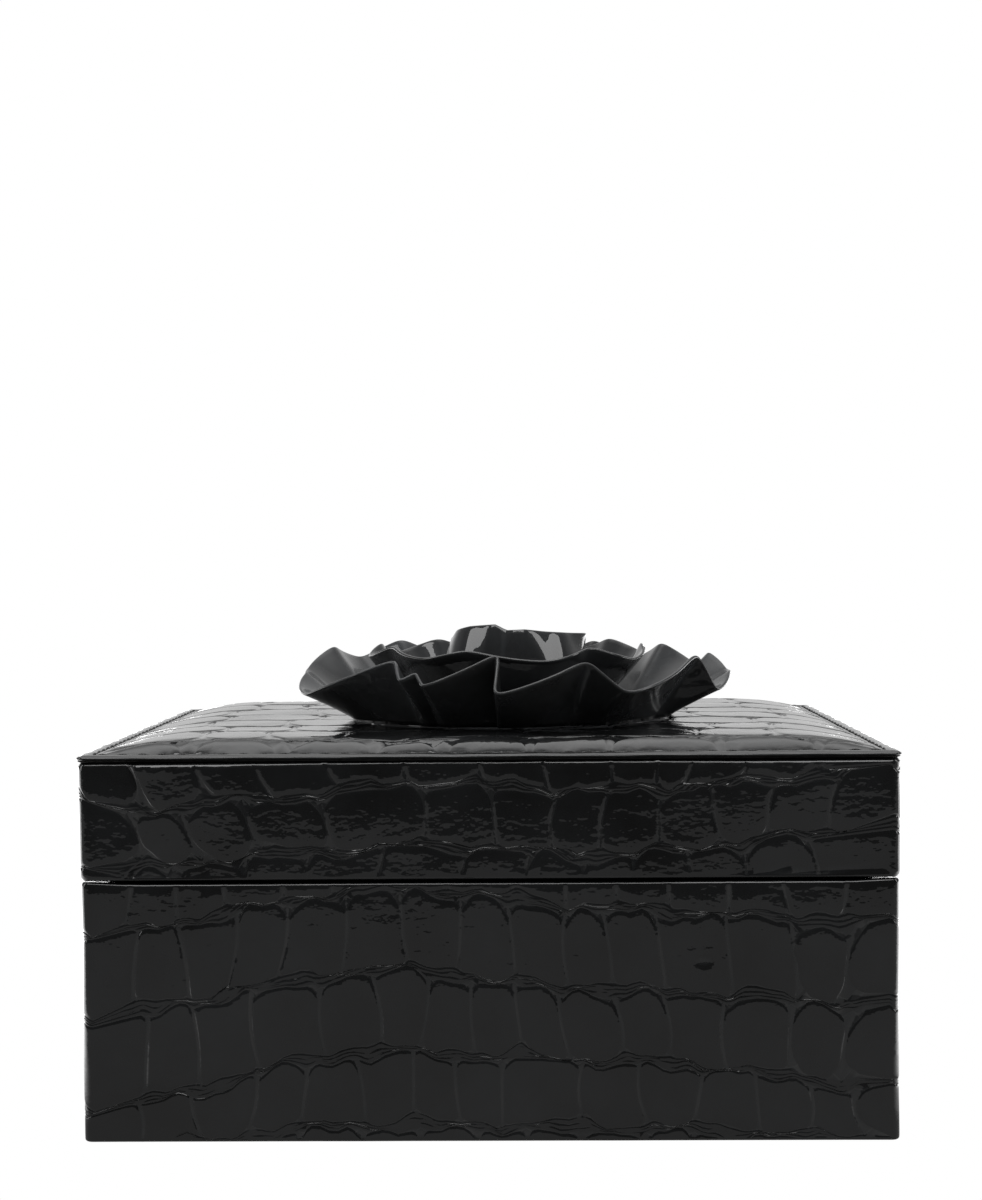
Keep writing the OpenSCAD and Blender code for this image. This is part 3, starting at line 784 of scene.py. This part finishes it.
def bud_grid(height):
    """The rolled bud: one strip wound inwards, bellied, with soft folds and an uneven rim."""
    turns, count, rows = 2.55, 230, 19
    share = np.linspace(0, 1, count)
    angle = -150 + share * 360 * turns
    front = (angle + 180) % 360 - 180
    soft = 1 - 0.75 * share
    inward = np.clip((share - 0.36) / 0.64, 0, 1) ** 0.9
    belly_r = 19.2 - 1.4 * share - 13.8 * inward
    ripples = 0.5 * np.cos(np.radians(7 * angle + 30)) + 0.4 * np.cos(np.radians(4 * angle))
    crease = 2.0 * np.exp(-(((front + 9) / 8) ** 2)) + 1.1 * np.exp(-(((front - 38) / 12) ** 2))
    tip = 1.3 * np.exp(-(((front - 92) / 18) ** 2))
    drop = np.interp(front, *zip(*BUD_RIM))
    grid = []
    for v in np.linspace(0, 1, rows):
        body = 0.72 + 0.28 * math.sin(math.pi * min(v / 1.3, 0.5) + 0.35 * v)
        tuck = 1.9 * max(v - 0.62, 0) ** 2 / 0.144
        radius = belly_r * body + soft * v * (ripples - crease) + tip * v ** 3 - tuck * (1 - 0.9 * tip / 1.3)
        z = (height - 1.2 + drop * soft - 4.2 * share ** 1.2) * v
        grid.append(around_flower(angle, np.maximum(radius, 1.4), BACKING_HI[2] - FLOWER_Z + z))
    return np.array(grid) + np.array([BUD_SHIFT, 0, 0])


# ---- rounded blocks for covered parts

def rounded_block(lo, hi, radius, seed, step=4.0, crown=0.0):
    """A covered block with rounded edges, a slightly raised top and a little unevenness."""
    lo, hi = np.asarray(lo, float), np.asarray(hi, float)
    half, centre = (hi - lo) / 2, (hi + lo) / 2
    radius = min(radius, 0.98 * half.min())
    lines = []
    for h in half:
        bend = h - radius * (1 - np.sin(np.linspace(0, 1, 5) * math.pi / 2))
        count = max(int(2 * (h - radius) / step), 2)
        middle = np.linspace(-(h - radius), h - radius, count + 1)[1:-1]
        lines.append(np.concatenate([-bend[::-1], middle, bend]))
    points, faces, start = [], [], 0
    for axis in range(3):
        a, b = (axis + 1) % 3, (axis + 2) % 3
        for sign in (-1, 1):
            u, v = np.meshgrid(lines[a], lines[b], indexing="ij")
            flat = np.zeros((*u.shape, 3))
            flat[..., a], flat[..., b], flat[..., axis] = u, v, sign * half[axis]
            index = np.arange(u.size).reshape(u.shape) + start
            quads = grid_faces(index if sign < 0 else index[::-1])
            points.append(flat.reshape(-1, 3))
            faces += quads.tolist()
            start += u.size
    points = np.concatenate(points)
    core = np.clip(points, -(half - radius), half - radius)
    away = points - core
    length = np.maximum(np.linalg.norm(away, axis=1), 1e-9)[:, None]
    points = core + away / length * radius
    share = np.clip(1 - (points / half) ** 2, 0, 1)
    top = points[:, 2] > half[2] - radius * 0.6
    points[:, 2] += np.where(top, crown * (share[:, 0] * share[:, 1]) ** 0.5, 0)
    points = points + centre
    points[:, 2] += np.where(top, np.minimum(waves(points, 0.05, 9, 30, seed), 0.2), 0)
    _, first, number = np.unique(np.round(points, 3), axis=0, return_index=True, return_inverse=True)
    number = number.ravel()
    return tidy_faces(points[first], [[int(number[v]) for v in face] for face in faces])


# ---- materials

def fill(tree, made, sockets):
    """Fills a node's sockets: an output is linked in, and anything else is set as the value."""
    for name, value in sockets.items():
        if isinstance(value, bpy.types.NodeSocket):
            tree.links.new(value, made.inputs[name])
        else:
            made.inputs[name].default_value = value


def node_of(tree, kind, sockets=None, **settings):
    """A new node with its settings made and its sockets filled."""
    made = tree.nodes.new(kind)
    for name, value in settings.items():
        setattr(made, name, value)
    fill(tree, made, sockets or {})
    return made


def new_look(name):
    """A new material, with its node tree and its main shader."""
    look = bpy.data.materials.new(name)
    look.use_nodes = True
    return look, look.node_tree, look.node_tree.nodes["Principled BSDF"]


def stretched(tree, scale=(1, 1, 1)):
    """Object coordinates, stretched."""
    coords = node_of(tree, "ShaderNodeTexCoord")
    mapping = node_of(tree, "ShaderNodeMapping", {"Vector": coords.outputs["Object"], "Scale": scale})
    return mapping.outputs["Vector"]


def noise(tree, scale, detail, roughness, distortion=0.0, stretch=(1, 1, 1)):
    """Noise over the surface."""
    sockets = {"Vector": stretched(tree, stretch), "Scale": scale, "Detail": detail,
               "Roughness": roughness, "Distortion": distortion}
    return node_of(tree, "ShaderNodeTexNoise", sockets).outputs["Fac"]


def ribs(tree, scale, distortion, direction):
    """Fine parallel ribs."""
    sockets = {"Vector": stretched(tree), "Scale": scale, "Distortion": distortion}
    return node_of(tree, "ShaderNodeTexWave", sockets, bands_direction=direction).outputs["Fac"]


def ramp(tree, value, stops):
    """Colours along a value; stops holds (place, colour)."""
    made = node_of(tree, "ShaderNodeValToRGB", {"Fac": value})
    line = made.color_ramp
    while len(line.elements) < len(stops):
        line.elements.new(0.5)
    for element, (place, colour) in zip(line.elements, stops):
        element.position = place
        element.color = (*colour, 1)
    return made.outputs["Color"]


def spread_to(tree, value, low, high, from_low=0.3, from_high=0.7, kind="LINEAR"):
    """A value brought into a range."""
    sockets = {"Value": value, "From Min": from_low, "From Max": from_high, "To Min": low, "To Max": high}
    return node_of(tree, "ShaderNodeMapRange", sockets, interpolation_type=kind).outputs["Result"]


def reckon(tree, operation, *values):
    """The result of a sum on outputs and numbers."""
    return node_of(tree, "ShaderNodeMath", dict(enumerate(values)), operation=operation).outputs[0]


def bump(tree, height, strength, distance, under=None):
    """A bump of that height, on top of another."""
    sockets = {"Height": height, "Strength": strength, "Distance": distance}
    if under is not None:
        sockets["Normal"] = under
    return node_of(tree, "ShaderNodeBump", sockets).outputs["Normal"]


def grey(value, warm=0.0):
    """A grey with a little warmth."""
    return (value * (1 + warm), value, value * (1 - warm))


def patent_look(name, tone, peel, crease, gloss=1.0):
    """Black patent leather: a dark dyed body under a hard, slightly rippled lacquer, its colour
    a little lighter in the grooves as a painted highlight."""
    look, tree, skin = new_look(name)
    cloud = noise(tree, 45, 4, 0.6)
    fine = noise(tree, 1500, 2, 0.5)
    ripple = noise(tree, 140, 2, 0.5, stretch=(0.7, 0.7, 1.2))
    grain = noise(tree, 720, 1, 0.4, stretch=(0.8, 0.8, 1.2))
    pores = node_of(tree, "ShaderNodeTexVoronoi", {"Vector": stretched(tree), "Scale": 900})
    hollow = node_of(tree, "ShaderNodeNewGeometry").outputs["Pointiness"]
    # Random cloudy tone, plus a painted highlight: the colour is lighter where the surface is hollow (low
    # pointiness), in the grooves.
    tone_and_groove_highlight = reckon(tree, "MULTIPLY_ADD", cloud, 0.5, spread_to(tree, hollow, 0.6, 0.0, 0.45, 0.495))
    tones = ((0.15, grey(tone * 0.7)), (0.35, grey(tone * 1.4, -0.06)), (0.8, grey(tone + 0.04)))
    base = bump(tree, pores.outputs["Distance"], 0.12, 0.0001)
    lacquer = bump(tree, ripple, crease, 0.0006)
    fill(tree, skin, {
        "Base Color": ramp(tree, tone_and_groove_highlight, tones),
        "Roughness": spread_to(tree, cloud, 0.2, 0.34),
        "Normal": bump(tree, fine, 0.1, 0.00005, base),
        "Specular IOR Level": 0.1,
        "Coat Normal": bump(tree, grain, peel, 0.0001, lacquer),
        "Coat Weight": gloss,
        "Coat Roughness": 0.015,
        "Coat IOR": 1.5,
    })
    return look


def velvet_look(name, dark, light, tint):
    """Velvet: short pile with brushed lighter and darker patches and a soft rim of light."""
    look, tree, skin = new_look(name)
    patches = noise(tree, 38, 5, 0.62, 0.8, (1, 1, 0.6))
    pile = noise(tree, 3200, 2, 0.6)
    shade = reckon(tree, "MULTIPLY_ADD", noise(tree, 1400, 3, 0.7), 0.3, patches)
    fill(tree, skin, {
        "Base Color": ramp(tree, shade, ((0.42, dark), (0.85, light))),
        "Roughness": spread_to(tree, patches, 0.75, 0.95),
        "Normal": bump(tree, pile, 0.55, 0.0003, bump(tree, patches, 0.25, 0.0006)),
        "Specular IOR Level": 0.15,
        "Sheen Weight": 0.7,
        "Sheen Roughness": 0.38,
        "Sheen Tint": (*tint, 1),
    })
    return look


def fibre_look(name, dark, light, scale):
    """Pressed fibres, for board, felt, foam and cut edges."""
    look, tree, skin = new_look(name)
    body = noise(tree, scale, 6, 0.7, 0.6)
    strands = noise(tree, scale * 3, 3, 0.6, 1.5, (1, 0.35, 2.2))
    fill(tree, skin, {
        "Base Color": ramp(tree, body, ((0.34, dark), (0.66, light))),
        "Roughness": spread_to(tree, strands, 0.78, 0.9),
        "Normal": bump(tree, strands, 0.6, 0.00024, bump(tree, body, 0.5, 0.0004)),
        "Specular IOR Level": 0.2,
    })
    return look


def brass_look():
    """Brushed brass with slight tarnish."""
    look, tree, skin = new_look("brass_brushed")
    brushed = noise(tree, 2600, 3, 0.6, stretch=(0.08, 1, 1))
    tarnish = noise(tree, 240, 5, 0.65)
    fill(tree, skin, {
        "Base Color": ramp(tree, tarnish, ((0.3, (0.5, 0.33, 0.12)), (0.62, (0.83, 0.62, 0.3)))),
        "Roughness": spread_to(tree, brushed, 0.2, 0.42),
        "Normal": bump(tree, brushed, 0.25, 0.0001),
        "Metallic": 1.0,
    })
    return look


def mirror_look():
    """Silvered glass with faint polish marks."""
    look, tree, skin = new_look("mirror_silvered")
    haze = noise(tree, 60, 4, 0.6)
    fill(tree, skin, {
        "Base Color": ramp(tree, haze, ((0.3, (0.8, 0.82, 0.81)), (0.7, (0.86, 0.87, 0.87)))),
        "Roughness": spread_to(tree, haze, 0.015, 0.05),
        "Metallic": 1.0,
        "Coat Weight": 0.6,
    })
    return look


def satin_look():
    """Black satin ribbon with fine crosswise ribs."""
    look, tree, skin = new_look("satin_ribbon")
    weave = ribs(tree, 650, 0.6, "Z")
    fill(tree, skin, {
        "Base Color": ramp(tree, noise(tree, 300, 3, 0.5), ((0.3, grey(0.012)), (0.7, grey(0.03, 0.1)))),
        "Roughness": spread_to(tree, weave, 0.3, 0.45, 0, 1),
        "Normal": bump(tree, weave, 0.3, 0.0001),
        "Anisotropic": 0.5,
        "Sheen Weight": 0.2,
    })
    return look


def thread_look():
    """Waxed black thread with its twist."""
    look, tree, skin = new_look("thread_waxed")
    twist = ribs(tree, 900, 0.0, "DIAGONAL")
    fill(tree, skin, {
        "Base Color": ramp(tree, twist, ((0.2, grey(0.006)), (0.8, grey(0.022)))),
        "Roughness": spread_to(tree, twist, 0.4, 0.6, 0, 1),
        "Normal": bump(tree, twist, 0.6, 0.0001),
    })
    return look


hide_look = patent_look("patent_croc", 0.01, 0.48, 0.34)
# One patent leather in two tones. petal_look is lighter, as painted light on the outer ruffle's downward
# faces. bud_look is darker, as painted shade on the middle ruffle's and bud's faces lit from above.
petal_look = patent_look("patent_smooth", 0.045, 0.08, 0.22, 0.6)
bud_look = patent_look("patent_bud", 0.025, 0.08, 0.12)
velvet = velvet_look("velvet_lining", (0.018, 0.016, 0.016), (0.075, 0.068, 0.066), (0.6, 0.56, 0.54))
board_look = fibre_look("fibreboard_grey", (0.16, 0.13, 0.1), (0.34, 0.29, 0.23), 420)
edge_look = fibre_look("fibre_edge_black", (0.004, 0.004, 0.004), (0.02, 0.019, 0.018), 900)
felt_look = fibre_look("felt_black", (0.012, 0.012, 0.013), (0.045, 0.045, 0.047), 700)
foam_look = fibre_look("foam_padding", (0.5, 0.46, 0.36), (0.68, 0.64, 0.52), 1300)
brass = brass_look()
mirror_glass = mirror_look()
satin = satin_look()
thread = thread_look()


# ---- the box outside

def corner_folds(piece, top, rise, reach):
    """The turned-in leather lies thicker on the rim's corners, where its folds overlap."""
    for point in piece.data.vertices:
        x, y, z = (abs(v) / MM for v in point.co)
        near = np.clip(1 - math.hypot(HALF_X - x, HALF_Y - y) / reach, 0, 1)
        upper = np.clip((z - top) / 1.5 + 1, 0, 1)
        point.co.z += rise * MM * upper * near * near * (3 - 2 * near)


RIM_FLAP = (1.6, 3.4, RIM_IN - 0.05)
base_piece = wrap_piece(
    "base_hide", base_hide(), rolled(0.6, BASE_LO[2] + 0.6, -1, (1.3, 2.4)),
    rolled(0.8, BASE_HI[2] - 0.8, 1, RIM_FLAP), True, BASE_HI[2] - WRAP_T - 0.04,
    hide_look, "base", "base_wrap", oval_mark)
corner_folds(base_piece, BASE_HI[2], 0.55, 14)
wrap_piece(
    "lid_hide", lid_hide(), rolled(0.8, LID_LO[2] + 0.8, -1, RIM_FLAP),
    groove_fold(), False, LID_LO[2] + WRAP_T + 0.04,
    hide_look, "lid", "lid_wrap", lid_lean)
add_piece("lid_panel_hide", *join([panel_field(), panel_border()]), hide_look, "lid",
          ["lid_top_panel"], "patent_leather")
add_piece("lid_panel_edge", *panel_core_edge(), edge_look, "lid", slot="fibreboard")
add_piece("lid_stitches", *stitches(), thread, "lid", ["lid_stitching"], "thread")

outer_grid = ruffle(OUTER_PLEATS, 44.5, 0.6, -0.5, 14, samples=22, seed=2)
middle_grid = ruffle(MIDDLE_PLEATS, 22, BACKING_HI[2] - BACKING_LO[2] + 0.5, 1.6, 16, samples=20, seed=8)
bud_rows = bud_grid(cad_box("flower_bud")[1][2] - BACKING_HI[2] - 0.3)
for name, grid, node, closed, look in (
    ("outer_ruffle", outer_grid, "flower_outer_ruffle", True, petal_look),
    ("middle_ruffle", middle_grid, "flower_middle_ruffle", True, bud_look),
    ("rolled_bud", bud_rows, "flower_bud", False, bud_look),
):
    petal = add_piece(name, *shell(grid, PETAL_T, closed), look, "lid", [node], "petal_leather")


# ---- covered parts inside

def add_velvet(name, mesh, body, node):
    """A velvet-covered piece in place of a CAD node; mesh holds its points and faces."""
    return add_piece(name, *mesh, velvet, body, [node], "velvet")


def lining(name, node, body, open_up):
    """A velvet-covered card ring inside the walls, with a rounded free edge."""
    lo, hi = cad_box(node)
    half = (hi[0] - cad_box("base_floor_pad")[1][0]) / 2
    rim, foot = (hi[2], lo[2]) if open_up else (lo[2], hi[2])
    sign = 1 if open_up else -1
    run = rim - sign * half - foot
    rows = [(0, foot + run * share) for share in (0, 0.25, 0.5, 0.75)]
    for step in range(7):
        a = math.pi * step / 6
        rows.append((half - half * math.cos(a), rim - sign * half * (1 - math.sin(a))))
    rows += [(2 * half + 0.05 * math.sin(9 * share), foot + run * share) for share in (0.75, 0.5, 0.25, 0)]
    points, faces = sweep(rows, ring_places(3, hi[0], hi[1], 0.5), hi[0], hi[1], 0.5)
    add_velvet(name, (points, faces if open_up else [face[::-1] for face in faces]), body, node)


def covered(name, node, body, radius, crown, seed):
    """A velvet-covered block in place of a CAD block."""
    add_velvet(name, rounded_block(*cad_box(node), radius, seed, crown=crown), body, node)


def covered_pair(name, node, body, axis, thick, radius):
    """Two velvet-covered blocks of that thickness, at the two ends of a CAD node's box."""
    lo, hi = cad_box(node)
    first_hi, second_lo = hi.copy(), lo.copy()
    first_hi[axis] = lo[axis] + thick
    second_lo[axis] = hi[axis] - thick
    blocks = [rounded_block(lo, first_hi, radius, 20), rounded_block(second_lo, hi, radius, 21)]
    add_velvet(name, join(blocks), body, node)


LEDGE_T, DIVIDER_T = 4.0, 2.5
lining("base_lining_velvet", "base_side_lining", "base", True)
lining("lid_lining_velvet", "lid_side_lining", "lid", False)
covered("base_floor_velvet", "base_floor_pad", "base", 0.8, 0.2, 2)
covered("tray_floor_velvet", "tray_floor", "tray", 0.6, 0, 3)
for number, side in enumerate(("front", "back", "left", "right")):
    covered(f"tray_{side}_rail_velvet", f"tray_{side}_rail", "tray", 1.2, 0, 4 + number)
covered("tray_pad_velvet", "tray_floor_pad", "tray", 0.4, 0.15, 9)
covered("tray_long_divider_velvet", "tray_long_divider", "tray", 1.1, 0, 10)
covered_pair("tray_ledges_velvet", "tray_ledges", "base", 0, LEDGE_T, 0.8)
covered_pair("tray_cross_dividers_velvet", "tray_cross_dividers", "tray", 1, DIVIDER_T, 1.1)


ROLL_COUNT = 8


def ring_rolls():
    """Foam rolls under velvet: round tops, pinched seams between them and tucked-in ends."""
    lo, hi = cad_box("ring_rolls")
    rail_lo, rail_hi = cad_box("tray_long_divider")
    pitch = (rail_hi[1] - rail_lo[1]) / ROLL_COUNT
    radius = pitch / 2 - 0.2
    length = hi[0] - lo[0]
    tuck = np.array([0, 0.6, 1.6, 3, 5])
    ends = np.concatenate([tuck, np.linspace(9, length - 9, 14), length - tuck[::-1]])
    parts = []
    for n in range(ROLL_COUNT):
        y = rail_lo[1] + (n + 0.5) * pitch
        grid = []
        for x in ends:
            near = min(x, length - x)
            reach = radius * (1 - 0.3 * max(0, 1 - near / 4.5) ** 2.2)
            ring = [(lo[0] + x, y + reach * 0.9, lo[2] + 0.1)]
            for step in range(25):
                a = math.radians(-20 + 220 * step / 24)
                ring.append((lo[0] + x, y + reach * math.cos(a) * 0.995,
                             lo[2] + radius + reach * math.sin(a)))
            ring.append((lo[0] + x, y - reach * 0.9, lo[2] + 0.1))
            grid.append(ring)
        grid = np.array(grid)
        uneven = waves(grid, 0.1, 10, 30, 50 + n)
        grid[..., 2] += np.where(grid[..., 2] > lo[2] + radius, uneven, 0)
        points = grid.reshape(-1, 3)
        index = np.arange(len(points)).reshape(grid.shape[:2])
        faces = grid_faces(index, closed=True).tolist()
        parts.append((points, faces + [list(index[0]), list(index[-1][::-1])]))
    return join(parts)


add_velvet("ring_rolls_velvet", ring_rolls(), "tray", "ring_rolls")

MIRROR_LIP = 2.0


def surround():
    """The padded velvet frame round the mirror, seen when the lid is open."""
    lo, hi = cad_box("mirror_surround")
    glass = cad_box("mirror")[1]
    outer = ring_places(3, hi[0], hi[1], 0.5)
    out_flat, _ = round_box(outer, hi[0], hi[1], 0.5)
    in_flat, _ = round_box(outer, glass[0] - MIRROR_LIP, glass[1] - MIRROR_LIP, 3)
    rows = [(0, hi[2]), (0, lo[2] + 0.6), (0.01, lo[2] + 0.25), (0.04, lo[2] + 0.05), (0.25, lo[2] - 0.1),
            (0.5, lo[2] - 0.15), (0.75, lo[2] - 0.1), (0.93, lo[2] + 0.05), (0.98, lo[2] + 0.25),
            (1.0, lo[2] + 0.6), (1.0, lo[2] + 0.95)]
    layers = [np.column_stack([out_flat * (1 - f) + in_flat * f, np.full(len(outer), z)]) for f, z in rows]
    points = np.concatenate(layers)
    index = np.arange(len(points)).reshape(len(rows), len(outer))
    return tidy_faces(points, grid_faces(index[::-1], closed=True))


add_velvet("mirror_surround_velvet", surround(), "lid", "mirror_surround")

RIBBON_T = 0.35


def ribbon(name, sign):
    """A satin pull: a strip folded over, its two ends tucked behind the ring rolls."""
    lo, hi = cad_box("tray_ribbons")
    width, rise = hi[1] - lo[1], hi[2] - lo[2]
    x_out, bend = hi[0] - 0.3, 0.85
    path = [(0, 0), (0, rise * 0.3), (0.03, rise * 0.6), (0, rise - 3), (0.1, rise - 1.6)]
    for step in range(1, 8):
        a = math.pi * step / 8
        path.append((bend * (1 - math.cos(a)), rise - 1.2 + 1.0 * math.sin(a)))
    path += [(1.7, rise - 1.6), (1.75, rise - 3), (1.6, rise * 0.6), (1.5, rise * 0.3), (1.5, 0)]
    across = np.linspace(-width / 2, width / 2, 9)
    curl = 0.06 * np.cos(across / width * 5)
    grid = np.array([np.column_stack([sign * (x_out - inward - curl), across,
                                      np.full(len(across), lo[2] + up - 0.1)]) for inward, up in path])
    points, faces = shell(grid.transpose(1, 0, 2), RIBBON_T, False)
    if sign < 0:
        faces = [face[::-1] for face in faces]
    nodes = ["tray_ribbons"] if sign > 0 else []
    piece = add_piece(name, points, faces, satin, "tray", nodes, "ribbon")


ribbon("ribbon_pull_right", 1)
ribbon("ribbon_pull_left", -1)


def foam_dome():
    """The foam under the panel's leather."""
    lo, hi = cad_box("lid_padding")
    x = np.linspace(lo[0], hi[0], 61)
    y = np.linspace(lo[1], hi[1], 47)
    grid_x, grid_y = np.meshgrid(x, y, indexing="ij")
    top = PANEL_Z - 1.3 + dome(grid_x, grid_y) * 0.98
    upper = np.stack([grid_x, grid_y, top], axis=-1).reshape(-1, 3)
    lower = np.stack([grid_x, grid_y, np.full(grid_x.shape, lo[2] + 0.02)], axis=-1).reshape(-1, 3)
    index = np.arange(grid_x.size).reshape(grid_x.shape)
    faces = grid_faces(index[::-1]).tolist() + grid_faces(index + len(upper)).tolist()
    rim = np.concatenate([index[:, 0], index[-1, 1:], index[-2::-1, -1], index[0, -2:0:-1]])
    side = np.stack([rim, rim + len(upper)])
    faces += grid_faces(side, closed=True)[:, ::-1].tolist()
    return np.concatenate([upper, lower]), faces


foam = add_piece("lid_foam", *foam_dome(), foam_look, "lid", ["lid_padding"], "padding_foam")

add_piece("base_felt_pad", *rounded_block(*cad_box("base_felt"), 0.5, 31, step=6), felt_look,
          "base", ["base_felt"], "felt")


# ---- CAD parts that stay

def dress(node, look, bevel):
    """Gives a CAD part its material, and its edges a small bevel."""
    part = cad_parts[node]
    part.data.materials.clear()
    part.data.materials.append(look)
    if bevel:
        cut = part.modifiers.new("edges", "BEVEL")
        cut.width = bevel * MM
        cut.segments = 2
        cut.limit_method = "ANGLE"
        cut.angle_limit = math.radians(40)


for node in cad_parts:
    if node.endswith("_board"):
        dress(node, board_look, 0.15)
    elif node.startswith("hinge_"):
        dress(node, brass, 0.12)
dress("lid_top_board", edge_look, 0.15)
dress("mirror", mirror_glass, 0.5)
dress("flower_backing", petal_look, 0.3)


# ---- camera, floor and light

CAMERA_AT = (10.7, -540.8, 143.2)
CAMERA_PITCH, CAMERA_YAW, CAMERA_ROLL = 2.4, 1.17, 0.51
CAMERA_FOCUS, CAMERA_SHIFT = 57.1, 0.0369
# How far the floor reaches in front of the box, in metres
FLOOR_FRONT = 0.44
WHITE = (1, 1, 1, 1)


def add_camera():
    """A camera a little above the lid, almost straight in front."""
    data = bpy.data.cameras.new("camera")
    data.lens = CAMERA_FOCUS
    data.sensor_width = 36
    data.shift_y = CAMERA_SHIFT
    data.clip_start, data.clip_end = 0.01, 20
    camera = placed("camera", data)
    turn = Matrix.Rotation(math.radians(CAMERA_YAW), 4, "Z")
    tilt = Matrix.Rotation(math.radians(90 - CAMERA_PITCH), 4, "X")
    roll = Matrix.Rotation(math.radians(-CAMERA_ROLL), 4, "Z")
    camera.matrix_world = Matrix.Translation(Vector(CAMERA_AT) * MM) @ turn @ tilt @ roll
    bpy.context.scene.camera = camera


def stage_axes(tree, output):
    """The distance to the side, the depth and the height at a point of the stage."""
    coords = node_of(tree, "ShaderNodeTexCoord")
    parts = node_of(tree, "ShaderNodeSeparateXYZ", {"Vector": coords.outputs[output]})
    return reckon(tree, "ABSOLUTE", parts.outputs["X"]), parts.outputs["Y"], parts.outputs["Z"]


def shine(tree, shader, strength, end):
    """White where the camera sees it, and of its own strength for the light it gives."""
    seen = node_of(tree, shader, {"Color": WHITE, "Strength": 1.0})
    lit = node_of(tree, shader, {"Color": WHITE, "Strength": strength})
    ray = node_of(tree, "ShaderNodeLightPath")
    choice = node_of(tree, "ShaderNodeMixShader",
                     {0: ray.outputs["Is Camera Ray"], 1: lit.outputs[0], 2: seen.outputs[0]})
    node_of(tree, end, {"Surface": choice.outputs[0]})


def add_floor():
    """A plain white floor, which ends in front of the box and is brighter at its sides."""
    front = -HALF_Y * MM - FLOOR_FRONT
    mesh = bpy.data.meshes.new("floor")
    mesh.from_pydata([(-3, front, 0), (3, front, 0), (3, 4, 0), (-3, 4, 0)], [], [(0, 1, 2, 3)])
    look, tree, _ = new_look("floor_white")
    tree.nodes.clear()
    aside, depth, _ = stage_axes(tree, "Object")
    beside = reckon(tree, "MULTIPLY", spread_to(tree, aside, 0, 1, 0.12, 0.2),
                    spread_to(tree, depth, 0, 1, -0.15, -0.085))
    shine(tree, "ShaderNodeEmission", spread_to(tree, beside, 0.325, 3.6, 0, 1), "ShaderNodeOutputMaterial")
    mesh.materials.append(look)
    placed("floor", mesh)


def add_world():
    """White behind the box, and a soft room round it: dark in front, bright at the sides,
    behind and above."""
    world = bpy.data.worlds.new("room")
    bpy.context.scene.world = world
    world.use_nodes = True
    tree = world.node_tree
    tree.nodes.clear()
    aside, depth, height = stage_axes(tree, "Generated")
    strength = 1.0
    for value, from_low, from_high, low, high in (
        (depth, -0.15, 0.3, 0.04, 0.64),
        (height, 0.18, 0.5, 1.0, 0.6),
        (height, 0.6, 0.88, 1.0, 4.5),
        (aside, 0.5, 0.85, 1.0, 0.4),
    ):
        share = spread_to(tree, value, low, high, from_low, from_high, "SMOOTHSTEP")
        strength = reckon(tree, "MULTIPLY", strength, share)
    shine(tree, "ShaderNodeBackground", strength, "ShaderNodeOutputWorld")


def add_softbox(name, at, target, size, power):
    """A soft rectangular light."""
    data = bpy.data.lights.new(name, "AREA")
    data.shape = "RECTANGLE"
    data.size, data.size_y = size
    data.energy = power
    lamp = placed(name, data)
    lamp.location = at
    lamp.rotation_euler = (Vector(target) - Vector(at)).to_track_quat("-Z", "Y").to_euler()


add_camera()
add_floor()
add_world()
add_softbox("softbox_left", (-0.9, -0.25, 0.5), (0, 0, 0.08), (0.2, 0.8), 2)
add_softbox("softbox_right", (0.9, -0.25, 0.5), (0, 0, 0.08), (0.2, 0.8), 2)
add_softbox("softbox_top", (0, -0.4, 1.0), (0, 0, 0.1), (1.1, 0.45), 7)
bpy.context.scene.view_settings.view_transform = "Standard"
